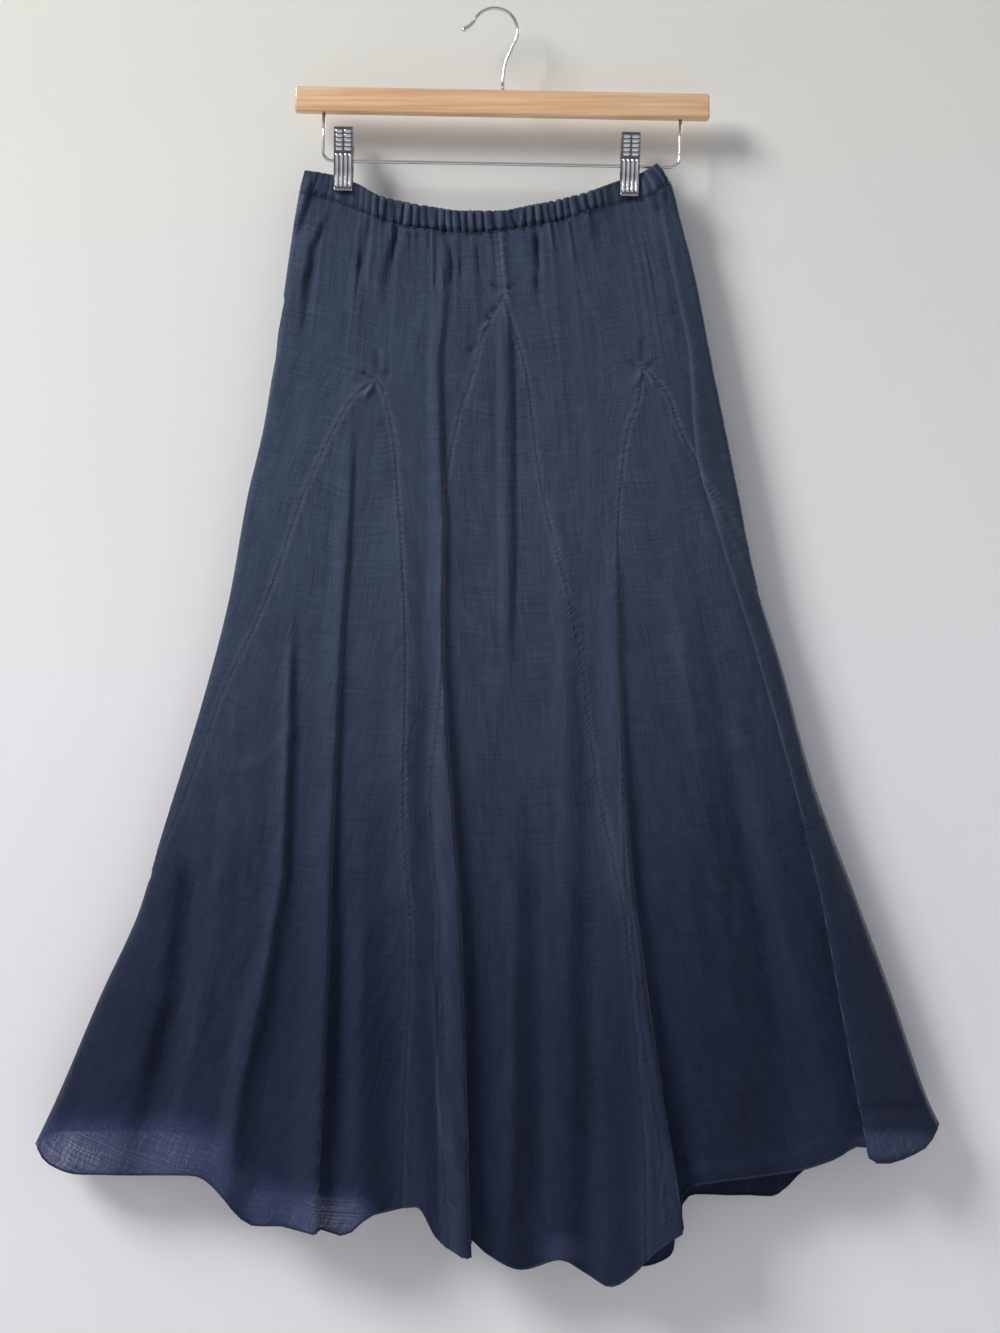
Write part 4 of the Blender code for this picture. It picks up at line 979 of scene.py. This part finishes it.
# The rows of the rounded fold along the casing's top
FOLD_ROWS = (-1.0, -0.992, -0.975)
# Where the casing is drawn in by its seam, as a level, how far the pits reach, and how far their painted
# shade reaches
PIT_LEVEL = -0.09
PIT_REACH = 0.11
PIT_SHADE_REACH = 0.09
# The range of the gathers' heights, sharpness and pits, each drawn at random
EXTRA_RANGE = (-0.2, 1.7)
SHARPNESS_RANGE = (0.5, 2.6)
PIT_RANGE = (0.2, 1.9)


def build_casing(linen):
    """The gathered waist ring, with a rounded fold along its top."""
    levels = np.concatenate([FOLD_ROWS, np.linspace(CASING_FOLD, CASING_LOWEST, CASING_ROWS)])
    s, r = np.meshgrid(levels, np.linspace(0.0, 2.0, CASING_COLUMNS, endpoint=False), indexing="ij")
    point, normal, _ = cloth_frame(r.ravel(), s.ravel(), 1.0)
    x, drop, _, back, _, _, _ = place_of(r, s)
    random = np.random.default_rng(SEED + 1)
    turns = uneven_phase(r) + s * (0.24 * np.sin(22.0 * r + 1.0) + 0.16 * np.sin(57.0 * r))
    which = gather_number(turns)
    extra, sharpness, pit = [random.uniform(low, high, GATHER_ENTRIES)[which]
                             for low, high in (EXTRA_RANGE, SHARPNESS_RANGE, PIT_RANGE)]
    rise = 0.5 + 0.5 * np.cos(2 * np.pi * turns)
    crest = rise**sharpness
    arch = 4 * np.clip(-s, 0, 1) * np.clip(1 + s, 0, 1)
    from_pit = s - (PIT_LEVEL - 0.05 * np.sin(33.0 * r))
    height = extra * crest * (0.55 + 0.45 * arch)
    height = height + 0.5 * np.cos(4 * np.pi * turns + 1.0) * bell(s + 0.10, 0.22)
    height = height - pit * bell(from_pit, PIT_REACH) * (0.3 + 0.7 * (1 - rise))
    height = (height + crease_relief(x, drop, back)) * (1.0 - clip_grip(x, drop))
    # Painted highlight on the gathers' crests, painted shade between them and in the pits of the seam; the
    # tone is also lighter along the top fold
    wear_and_painted_light = 0.16 * rise * (extra + 0.4) + 0.12 * bell(s + 1.0, 0.08) - 0.46 * (1.0 - crest)
    wear_and_painted_light = wear_and_painted_light - 0.36 * pit * bell(from_pit, PIT_SHADE_REACH)
    point = point + normal * height.ravel()[:, None]
    rounding = np.clip(CASING_FOLD - s, 0.0, 1.0 + CASING_FOLD) / (1.0 + CASING_FOLD)
    half = CASING_HALF * np.sqrt(np.clip(1.0 - rounding**2, 0.02, 1.0))
    offset = normal * half.ravel()[:, None]
    numbers = np.arange(r.size).reshape(r.shape)
    cells = grid_cells(np.concatenate([numbers, numbers[:, :1]], axis=1))
    facts = [r * RING_LENGTH, (s + 1.0) * 30.0, -s * 26.0 + 1.0, r * RING_LENGTH, wear_and_painted_light, np.zeros(r.shape)]
    facts = np.stack([each.ravel() for each in facts], axis=1)
    mesh = closed_mesh("waistband_cloth", point + offset, point - offset, cells, facts)
    return place_object("waistband_cloth", mesh, linen, "linen", "waistband")


STITCH_LEVEL = -0.10
STITCH_LENGTH = 2.4
STITCH_PITCH = 3.6
STITCH_RADIUS = 0.28
STITCH_LIFT = 0.38
STITCH_SINK = (0.7, 0.15, 0.0, 0.15, 0.7)


def build_stitching(thread):
    """The row of stitches that closes the casing."""
    fine = np.linspace(0.0, 2.0, 4001)
    point, normal, _ = cloth_frame(fine, np.full(fine.shape, STITCH_LEVEL), 1.0)
    point = point + normal * (CASING_HALF + STITCH_LIFT)
    length = running_length(point)
    made = []
    for start in np.arange(0.0, length[-1] - STITCH_PITCH, STITCH_PITCH):
        at = start + np.linspace(0.0, STITCH_LENGTH, len(STITCH_SINK))
        path = np.stack([np.interp(at, length, point[:, k]) for k in range(3)], axis=1)
        nearest = np.round(np.interp(at, length, np.arange(len(length)))).astype(int)
        inward = normal[np.clip(nearest, 0, len(length) - 1)]
        made.append(tube(path - inward * np.array(STITCH_SINK)[:, None], STITCH_RADIUS, 5))
    return place_object("casing_stitching", join_tubes("casing_stitching", made), thread, "linen")


# Hanger pieces, in the tilted frame of the hanger

def tilted():
    return Matrix.Rotation(math.radians(TILT), 4, "Y")


def build_bar(wood):
    mesh = bpy.data.meshes.new("bar")
    work = bmesh.new()
    bmesh.ops.create_cube(work, size=1.0)
    bmesh.ops.scale(work, vec=Vector((BAR_LENGTH, BAR_DEPTH, BAR_HEIGHT)) * MM, verts=work.verts)
    bmesh.ops.bevel(work, geom=list(work.edges), offset=BAR_EDGE * 1.35 * MM, segments=4, profile=0.5,
                    affect="EDGES")
    work.to_mesh(mesh)
    work.free()
    mesh.shade_smooth()
    mesh.set_sharp_from_angle(angle=math.radians(50))
    middle = Matrix.Translation((STEM_X * MM, 0, -(BAR_TOP_DROP + BAR_HEIGHT / 2) * MM))
    return place_object("bar", mesh, wood, "wood", "hanger_bar", matrix=tilted() @ middle)


def build_hook(steel):
    centre_drop = HOOK_RADIUS - WIRE
    path = [(x, 0, -drop) for x, drop in HOOK_TIP]
    for angle in np.radians(np.linspace(HOOK_TIP_ANGLE, HOOK_TURN_ANGLE, 48)):
        path.append((HOOK_RADIUS * math.cos(angle), 0, HOOK_RADIUS * math.sin(angle) - centre_drop))
    path += [(x, 0, -drop) for x, drop in HOOK_NECK]
    path.append((STEM_X, 0, -(BAR_TOP_DROP - 0.1)))
    first = Vector(path[0])
    way = (first - Vector(path[1])).normalized()
    start = [tuple(first + way * d) for d in (2.3, 2.1, 1.5)]
    radii = [0.5, 1.3, 2.1, HOOK_TIP_RADIUS, 1.9] + [WIRE] * (len(path) - 2)
    mesh = join_tubes("hook", [tube(start + path, radii, 16)])
    return place_object("hook", mesh, steel, "steel", "hanger_hook", matrix=tilted())


def build_rail(steel):
    top = -(BAR_TOP_DROP + BAR_HEIGHT + 0.1)
    low = -RAIL_DROP
    path = [(-RAIL_HALF, 0, top), (-RAIL_HALF, 0, (top + low) / 2), (-RAIL_HALF, 0, low + RAIL_CORNER)]
    for angle in np.radians(np.arange(7.5, 91, 7.5)):
        path.append((-RAIL_HALF + RAIL_CORNER * (1 - math.cos(angle)), 0,
                     low + RAIL_CORNER * (1 - math.sin(angle))))
    path += [(-x, y, z) for x, y, z in reversed(path)]
    path = [(x + STEM_X, y, z) for x, y, z in path]
    mesh = join_tubes("rail", [tube(path, WIRE, 16)])
    return place_object("rail", mesh, steel, "steel", "hanger_rail", matrix=tilted())


def clip_seat(x):
    slope = math.sin(math.radians(TILT))
    return tilted() @ Matrix.Translation(((x + RAIL_DROP * slope) * MM, 0, -RAIL_DROP * MM))


JAW_COLUMNS = 44
JAW_ROWS = 120
RIB_PLACES = (-5.6, -1.9, 1.9, 5.6)
RIB_TOP = 5.0
RIB_HEIGHT = 0.75
BAR_PLACES = (8.6, 12.2, 15.8, 19.4, 23.0)
RAISED_BAR = 0.6
BAR_AWAY = 3.7
BAR_HALF = 2.7
LIP_HEIGHT = 0.45


def jaw_relief(x, height):
    """The pressed pattern of a front jaw: four ribs below, two columns of short bars above."""
    ribs = np.zeros_like(x)
    for place in RIB_PLACES:
        ribs = np.maximum(ribs, bell(x - place, 0.95, 4))
    lower = smooth_step((RIB_TOP - height) / 1.6) * smooth_step((height + 23.4) / 1.4)
    bars = np.zeros_like(x)
    for place in BAR_PLACES:
        bars = np.maximum(bars, bell(height - place, 1.05, 4))
    columns = bell(np.abs(x) - BAR_AWAY, BAR_HALF, 6)
    lip = bell(height + CLIP_HALF_HEIGHT - 0.8, 0.9, 4)
    return RIB_HEIGHT * ribs * lower + RAISED_BAR * bars * columns + LIP_HEIGHT * lip


def build_jaw(name, side, seat, steel):
    """A jaw's bent sheet, patterned in front, and its two cheeks."""
    half = CLIP_WIDTH / 2
    heights = np.linspace(-CLIP_HALF_HEIGHT, CLIP_HALF_HEIGHT, JAW_ROWS + 1)
    across = np.linspace(-half, half, JAW_COLUMNS + 1)
    x, height = np.meshgrid(across, heights[::-1])
    depth = smooth_curve(JAW_LINE)(height)
    corner = np.clip((np.abs(x) - half + 1.1) / 1.1, 0.0, 1.0)
    relief = jaw_relief(x, height) if side < 0 else np.zeros_like(x)
    outward = depth + CLIP_SHEET + relief * (1 - corner) - 0.7 * corner**2
    x = x if side < 0 else -x
    outer = np.stack([x, side * outward, height], axis=-1).reshape(-1, 3)
    inner = np.stack([x, side * depth, height], axis=-1).reshape(-1, 3)
    cells = grid_cells(np.arange(x.size).reshape(x.shape))
    facts = np.zeros((x.size, 6))
    # Share of the raised pattern, from which the pressed steel paints shade into the hollows
    facts[:, 4] = np.clip(relief.ravel() / RAISED_BAR, 0.0, 1.0)
    mesh = closed_mesh(name + "_shape", outer, inner, cells, facts)
    work = bmesh.new()
    work.from_mesh(mesh)
    inset = 0.0 if side < 0 else CHEEK_INSET
    for way in (-1, 1):
        xs = sorted((way * (half - inset - CLIP_SHEET), way * (half - inset)))
        ys = sorted((-side * CHEEK_BACK, side * (JAW_LINE[4][1] + CLIP_SHEET / 2)))
        made = bmesh.ops.create_cube(work, size=1.0)["verts"]
        size = Vector((xs[1] - xs[0], ys[1] - ys[0], 2 * CHEEK_HALF))
        bmesh.ops.scale(work, vec=size * MM, verts=made)
        bmesh.ops.translate(work, vec=Vector((sum(xs) / 2, sum(ys) / 2, 0.0)) * MM, verts=made)
    work.to_mesh(mesh)
    work.free()
    mesh.set_sharp_from_angle(angle=math.radians(48))
    return place_object(name + "_shape", mesh, steel, "steel", name, matrix=seat)


def build_spring(name, seat, steel):
    half = SPRING_TURNS * SPRING_PITCH / 2
    handle = JAW_LINE[4][1] + (JAW_LINE[5][1] - JAW_LINE[4][1]) * 0.5
    reach = handle - SPRING_WIRE - 0.2
    path = [(-half, -reach, SPRING_LEG), (-half, -(reach + SPRING_RADIUS) / 2, SPRING_LEG * 0.55)]
    steps = round(SPRING_TURNS * 20)
    for i in range(steps + 1):
        angle = math.pi + 2 * math.pi * SPRING_TURNS * i / steps
        path.append((-half + SPRING_PITCH * SPRING_TURNS * i / steps, SPRING_RADIUS * math.cos(angle),
                     SPRING_RADIUS * math.sin(angle)))
    path += [(half, (reach + SPRING_RADIUS) / 2, SPRING_LEG * 0.55), (half, reach, SPRING_LEG)]
    mesh = join_tubes(name + "_shape", [tube(path, SPRING_WIRE, 10)])
    return place_object(name + "_shape", mesh, steel, "steel", name, matrix=seat)


# Materials

class Nodes:
    """Short calls for the nodes of a material or of the world."""

    def __init__(self, tree):
        self.tree = tree

    def fill(self, node, inputs):
        """Sets a node's inputs; each is a value or another node's output."""
        for key, value in inputs.items():
            if isinstance(value, bpy.types.NodeSocket):
                self.tree.links.new(value, node.inputs[key])
            else:
                node.inputs[key].default_value = value

    def add(self, kind, inputs=None, **settings):
        node = self.tree.nodes.new("ShaderNode" + kind)
        for key, value in settings.items():
            setattr(node, key, value)
        self.fill(node, inputs or {})
        return node

    def math(self, operation, *values):
        return self.add("Math", dict(enumerate(values)), operation=operation).outputs[0]

    def add_up(self, start, *parts):
        """The start and each part times its share."""
        for value, share in parts:
            start = self.math("MULTIPLY_ADD", value, share, start)
        return start

    def bell(self, value, steepness):
        """1 at zero, falling off on both sides."""
        return self.math("EXPONENT", self.math("MULTIPLY", self.math("POWER", value, 2.0), -steepness))

    def mix(self, share, first, second, blend_type="MIX"):
        inputs = {0: share, 6: first, 7: second}
        return self.add("Mix", inputs, data_type="RGBA", blend_type=blend_type).outputs[2]

    def noise(self, vector, scales, detail, roughness=0.55):
        """Noise with its own scale along each direction, in turns per metre."""
        scaled = self.add("VectorMath", {0: vector, 1: scales}, operation="MULTIPLY").outputs[0]
        inputs = {"Vector": scaled, "Scale": 1.0, "Detail": detail, "Roughness": roughness}
        return self.add("TexNoise", inputs).outputs["Fac"]

    def bump(self, height, strength=1.0, distance=1.0):
        return self.add("Bump", {"Strength": strength, "Distance": distance, "Height": height}).outputs[0]

    def layer(self, name):
        return self.add("UVMap", uv_map=name).outputs[0]

    def attribute(self, name):
        return self.add("Attribute", attribute_name=name).outputs["Fac"]

    def parts(self, vector):
        return self.add("SeparateXYZ", {0: vector}).outputs


def new_material(name):
    material = bpy.data.materials.new(name)
    material.use_nodes = True
    return material, Nodes(material.node_tree), material.node_tree.nodes["Principled BSDF"]


# Colours of the linen; the one before WHITE is painted shade, multiplied into the others darker towards the
# hem
LINEN_DARK = (0.0130, 0.0200, 0.0400, 1.0)
LINEN_MIDDLE = (0.0400, 0.0570, 0.0960, 1.0)
LINEN_WORN_AND_HIGHLIT = (0.0950, 0.1180, 0.1650, 1.0)
LINEN_SHEER = (0.034, 0.048, 0.120, 1.0)
LINEN_HEM_SHADE = (0.330, 0.350, 0.500, 1.0)
WHITE = (1.0, 1.0, 1.0, 1.0)
# The levels between which the painted shade darkens the linen towards the hem
HEM_SHADE_LEVELS = (0.28, 0.86)
# Scales of the linen's noises, in turns per metre along the weave or the sewing
WARP_SCALE = (820.0, 24.0, 1.0)
WEFT_SCALE = (20.0, 760.0, 1.0)
CLOUD_SCALE = (14.0, 7.0, 1.0)
BLOTCH_SCALE = (80.0, 40.0, 1.0)
CRUMPLE_SCALE = (30.0, 14.0, 1.0)
WANDER_SCALE = (20.0, 60.0, 1.0)
# What each of them adds to the colour
TONE_START = -0.77
THREAD_TONE = 0.90
CLOUD_TONE = 0.55
BLOTCH_TONE = 0.34
# What each of them adds to the height, in metres
THREAD_BUMP = 0.00050
BLOTCH_BUMP = 0.0012
CRUMPLE_BUMP = 0.0045
PUCKER_BUMP = 0.00026
GROOVE_BUMP = -0.00028
# How steeply the puckers and the groove end beside a seam, and the puckers' turns, in mm
PUCKER_STEEPNESS = 0.06
GROOVE_STEEPNESS = 1.1
PUCKER_TURN = 0.85
PUCKER_WANDER = 26.0
# How far the cloth opens where it is sheer
SHEER_OPENING = 0.85


def linen_material(name, sheer):
    """Washed slate-navy linen: uneven threads, puckered seams, painted shade and highlight, and, where it
    is sheer, light through it.
    """
    material, nodes, shader = new_material(name)
    weave = nodes.layer("weave")
    sewing = nodes.layer("sewing")
    wear_and_painted_light = nodes.attribute("wear_and_painted_light")
    threads = nodes.math("ADD", nodes.noise(weave, WARP_SCALE, 1.5), nodes.noise(weave, WEFT_SCALE, 1.5))
    cloud = nodes.noise(weave, CLOUD_SCALE, 3.0)
    blotch = nodes.noise(weave, BLOTCH_SCALE, 2.0)
    tone = nodes.add_up(TONE_START, (threads, THREAD_TONE), (cloud, CLOUD_TONE), (blotch, BLOTCH_TONE))
    # Painted shade: values of the attribute below 0 darken the tone
    tone = nodes.math("ADD", tone, nodes.math("MINIMUM", wear_and_painted_light, 0.0))
    colour = nodes.mix(tone, LINEN_DARK, LINEN_MIDDLE)
    # Rubbing at seams and crests, and painted highlight on the casing's gathers, lighten towards the worn
    # colour
    rubbed_and_highlit = nodes.math("MULTIPLY", nodes.math("MAXIMUM", wear_and_painted_light, 0.0), nodes.add_up(0.05, (blotch, 1.5)))
    colour = nodes.mix(rubbed_and_highlit, colour, LINEN_WORN_AND_HIGHLIT)
    across, down, _ = nodes.parts(sewing)
    # Painted shade: the linen is multiplied darker and bluer towards the hem
    level = nodes.math("MULTIPLY", down, 1.0 / (LEVEL_LENGTH * MM))
    hem_shade = nodes.add("MapRange", {0: level, 1: HEM_SHADE_LEVELS[0], 2: HEM_SHADE_LEVELS[1]},
                       interpolation_type="SMOOTHSTEP").outputs[0]
    colour = nodes.mix(1.0, colour, nodes.mix(hem_shade, WHITE, LINEN_HEM_SHADE), "MULTIPLY")
    away = nodes.math("MULTIPLY", across, 1.0 / MM)
    along = nodes.math("MULTIPLY", down, 1.0 / MM)
    wander = nodes.noise(sewing, WANDER_SCALE, 2.0)
    phase = nodes.add_up(nodes.math("MULTIPLY", along, PUCKER_TURN), (wander, PUCKER_WANDER))
    pucker = nodes.math("MULTIPLY", nodes.math("SINE", phase), nodes.bell(away, PUCKER_STEEPNESS))
    height = nodes.add_up(0.0, (threads, THREAD_BUMP), (blotch, BLOTCH_BUMP),
                          (nodes.noise(weave, CRUMPLE_SCALE, 2.0), CRUMPLE_BUMP), (pucker, PUCKER_BUMP),
                          (nodes.bell(away, GROOVE_STEEPNESS), GROOVE_BUMP))
    if sheer:
        thin = nodes.attribute("sheer")
        colour = nodes.mix(thin, colour, LINEN_SHEER)
        hole = nodes.math("MULTIPLY", nodes.math("MULTIPLY", thin, SHEER_OPENING),
                          nodes.add_up(1.66, (threads, -1.3)))
        nodes.fill(shader, {"Alpha": nodes.math("SUBTRACT", 1.0, hole)})
    nodes.fill(shader, {"Base Color": colour, "Normal": nodes.bump(height), "Roughness": 0.90,
                        "Sheen Weight": 0.10, "Sheen Roughness": 0.50, "Specular IOR Level": 0.10})
    return material


THREAD_DARK = (0.008, 0.012, 0.026, 1.0)
THREAD_LIGHT = (0.022, 0.032, 0.064, 1.0)
# Turns of the thread round the edge, in radians per metre
THREAD_TURNS = 4200.0


def thread_material():
    """Overlocking thread, wound round the edge."""
    material, nodes, shader = new_material("sewing thread")
    along, round_way, _ = nodes.parts(nodes.layer("thread"))
    wave = nodes.math("SINE", nodes.add_up(round_way, (along, THREAD_TURNS)))
    nodes.fill(shader, {"Base Color": nodes.mix(nodes.add_up(0.5, (wave, 0.3)), THREAD_DARK, THREAD_LIGHT),
                        "Normal": nodes.bump(nodes.math("MULTIPLY", wave, 0.00015), 0.8),
                        "Roughness": 0.8, "Specular IOR Level": 0.2})
    return material


WOOD_DARK = (0.390, 0.195, 0.090, 1.0)
WOOD_LIGHT = (0.810, 0.560, 0.345, 1.0)


def wood_material():
    """Pale brown varnished wood with a long grain."""
    material, nodes, shader = new_material("varnished wood")
    place = nodes.add("TexCoord").outputs["Object"]
    grain = nodes.noise(place, (9.0, 240.0, 300.0), 5.0, 0.6)
    band = nodes.noise(place, (3.0, 60.0, 70.0), 2.0)
    tone = nodes.add_up(-0.40, (grain, 1.1), (band, 0.5))
    nodes.fill(shader, {"Base Color": nodes.mix(tone, WOOD_DARK, WOOD_LIGHT),
                        "Normal": nodes.bump(grain, 0.25, 0.0006), "Roughness": 0.42, "Coat Weight": 0.8,
                        "Coat Roughness": 0.12, "Specular IOR Level": 0.4})
    return material


# Painted shade for the hollows of the pressed pattern, then the raised pattern's colour and the wire's
# colour
STEEL_HOLLOW_SHADE = (0.220, 0.225, 0.240, 1.0)
STEEL_RAISED = (0.900, 0.900, 0.900, 1.0)
STEEL_WIRE = (0.60, 0.61, 0.62, 1.0)


def pressed_steel_material():
    """Bright on the raised pattern, with painted shade in its hollows."""
    material, nodes, shader = new_material("pressed steel")
    colour = nodes.mix(nodes.attribute("wear_and_painted_light"), STEEL_HOLLOW_SHADE, STEEL_RAISED)
    nodes.fill(shader, {"Base Color": colour, "Metallic": 1.0, "Roughness": 0.16})
    return material


def steel_material():
    material, nodes, shader = new_material("bright steel")
    haze = nodes.noise(nodes.add("TexCoord").outputs["Object"], (260.0, 260.0, 120.0), 3.0)
    nodes.fill(shader, {"Base Color": STEEL_WIRE, "Metallic": 1.0,
                        "Roughness": nodes.add_up(0.08, (haze, 0.14))})
    return material


# The wall's colour at the top is painted shade that evens out the key light; the low colour is its plain
# colour
WALL_TOP_SHADE = (0.565, 0.565, 0.535, 1.0)
WALL_LOW = (0.652, 0.648, 0.675, 1.0)
FLOOR_COLOUR = (0.62, 0.61, 0.60, 1.0)
WALL_Y = 0.030
STAGE_HALF = 3.0
FLOOR_Z = -1.45
WALL_TOP_Z = 1.2


def wall_material():
    """A pale wall that only shows from the front, painted darker towards its top as shade against the key
    light.
    """
    material, nodes, shader = new_material("pale wall")
    _, _, height = nodes.parts(nodes.add("TexCoord").outputs["Object"])
    # Painted shade: the wall gets darker towards its top
    high = nodes.add("Clamp", {0: nodes.add_up(1.0, (height, 1.7))}).outputs[0]
    nodes.fill(shader, {"Base Color": nodes.mix(high, WALL_LOW, WALL_TOP_SHADE), "Roughness": 0.9,
                        "Specular IOR Level": 0.1})
    clear = nodes.add("BsdfTransparent").outputs[0]
    side = nodes.add("NewGeometry").outputs["Backfacing"]
    both = nodes.add("MixShader", {0: side, 1: shader.outputs[0], 2: clear}).outputs[0]
    nodes.fill(material.node_tree.nodes["Material Output"], {"Surface": both})
    return material


def floor_material():
    material, nodes, shader = new_material("pale floor")
    nodes.fill(shader, {"Base Color": FLOOR_COLOUR, "Roughness": 0.8})
    return material


def flat_sheet(name, corners, material):
    mesh = bpy.data.meshes.new(name)
    mesh.from_pydata(corners, [], [tuple(range(len(corners)))])
    mesh.materials.append(material)
    thing = bpy.data.objects.new(name, mesh)
    bpy.context.scene.collection.objects.link(thing)
    return thing


def build_stage():
    """The wall and the floor, which only carry light and shadow."""
    sides = (-STAGE_HALF, STAGE_HALF)
    low, high = [[(x, WALL_Y, z) for x in sides] for z in (FLOOR_Z, WALL_TOP_Z)]
    wall = flat_sheet("wall", low + high[::-1], wall_material())
    front, back = [[(x, y, FLOOR_Z) for x in sides] for y in sides]
    floor = flat_sheet("floor", front + back[::-1], floor_material())
    wall.visible_shadow = False
    wall.visible_diffuse = False


def add_light(name, place, size, power, colour):
    data = bpy.data.lights.new(name, "AREA")
    data.shape = "SQUARE"
    data.size = size
    data.energy = power
    data.color = colour
    light = bpy.data.objects.new(name, data)
    light.location = place
    light.rotation_euler = (Vector(LIT_MIDDLE) - Vector(place)).to_track_quat("-Z", "Y").to_euler()
    bpy.context.scene.collection.objects.link(light)
    return light


# Place, size, power and colour of each light
LIGHTS = (
    ("window", (-2.4, -1.85, 1.5), 1.2, 146.0, (1.0, 0.99, 0.965)),
    ("room", (2.0, -1.9, 0.2), 1.6, 5.0, (0.93, 0.96, 1.0)),
    ("behind", (1.5, 2.4, 1.2), 0.8, 120.0, (0.96, 0.98, 1.0)),
)
LIT_MIDDLE = (0.0, 0.0, -0.55)
ROOM_LOW = (0.30, 0.31, 0.33, 1.0)
ROOM_HIGH = (0.86, 0.88, 0.92, 1.0)
ROOM_STRENGTH = 0.55


def build_lights():
    for light in LIGHTS:
        add_light(*light)
    world = bpy.data.worlds.new("room light")
    bpy.context.scene.world = world
    world.use_nodes = True
    nodes = Nodes(world.node_tree)
    _, _, height = nodes.parts(nodes.add("TexCoord").outputs["Generated"])
    colour = nodes.mix(nodes.add_up(0.5, (height, 0.5)), ROOM_LOW, ROOM_HIGH)
    nodes.fill(world.node_tree.nodes["Background"], {"Color": colour, "Strength": ROOM_STRENGTH})


CAMERA_LENS = 51.83
SENSOR_WIDTH = 36.0


def build_camera():
    data = bpy.data.cameras.new("camera")
    data.lens = CAMERA_LENS
    data.sensor_width = SENSOR_WIDTH
    camera = bpy.data.objects.new("camera", data)
    camera.location = (EYE_X * MM, -EYE_BACK * MM, -EYE_DROP * MM)
    camera.rotation_euler = (math.radians(90), 0, 0)
    bpy.context.scene.collection.objects.link(camera)
    bpy.context.scene.camera = camera


def main():
    linen = [linen_material("washed linen", False), linen_material("sheer linen", True)]
    thread = thread_material()
    wood = wood_material()
    steel = steel_material()
    pressed = pressed_steel_material()
    build_bar(wood)
    build_hook(steel)
    build_rail(steel)
    for side, x in (("left", CLIP_X[0]), ("right", CLIP_X[1])):
        seat = clip_seat(x)
        build_jaw("clip_" + side + "_front_jaw", -1, seat, pressed)
        build_jaw("clip_" + side + "_back_jaw", 1, seat, steel)
        build_spring("clip_" + side + "_spring", seat, steel)
    casing = build_casing(linen)
    stitches = build_stitching(thread)
    godets = {godet.name: godet for godet in GODETS}
    for panel in PANELS:
        thing, hem = build_panel(panel, godets, linen, thread)
    for godet in GODETS:
        thing, hem = build_godet(godet, linen, thread)
    build_stage()
    build_lights()
    build_camera()
    bpy.context.scene.view_settings.view_transform = "Standard"


main()
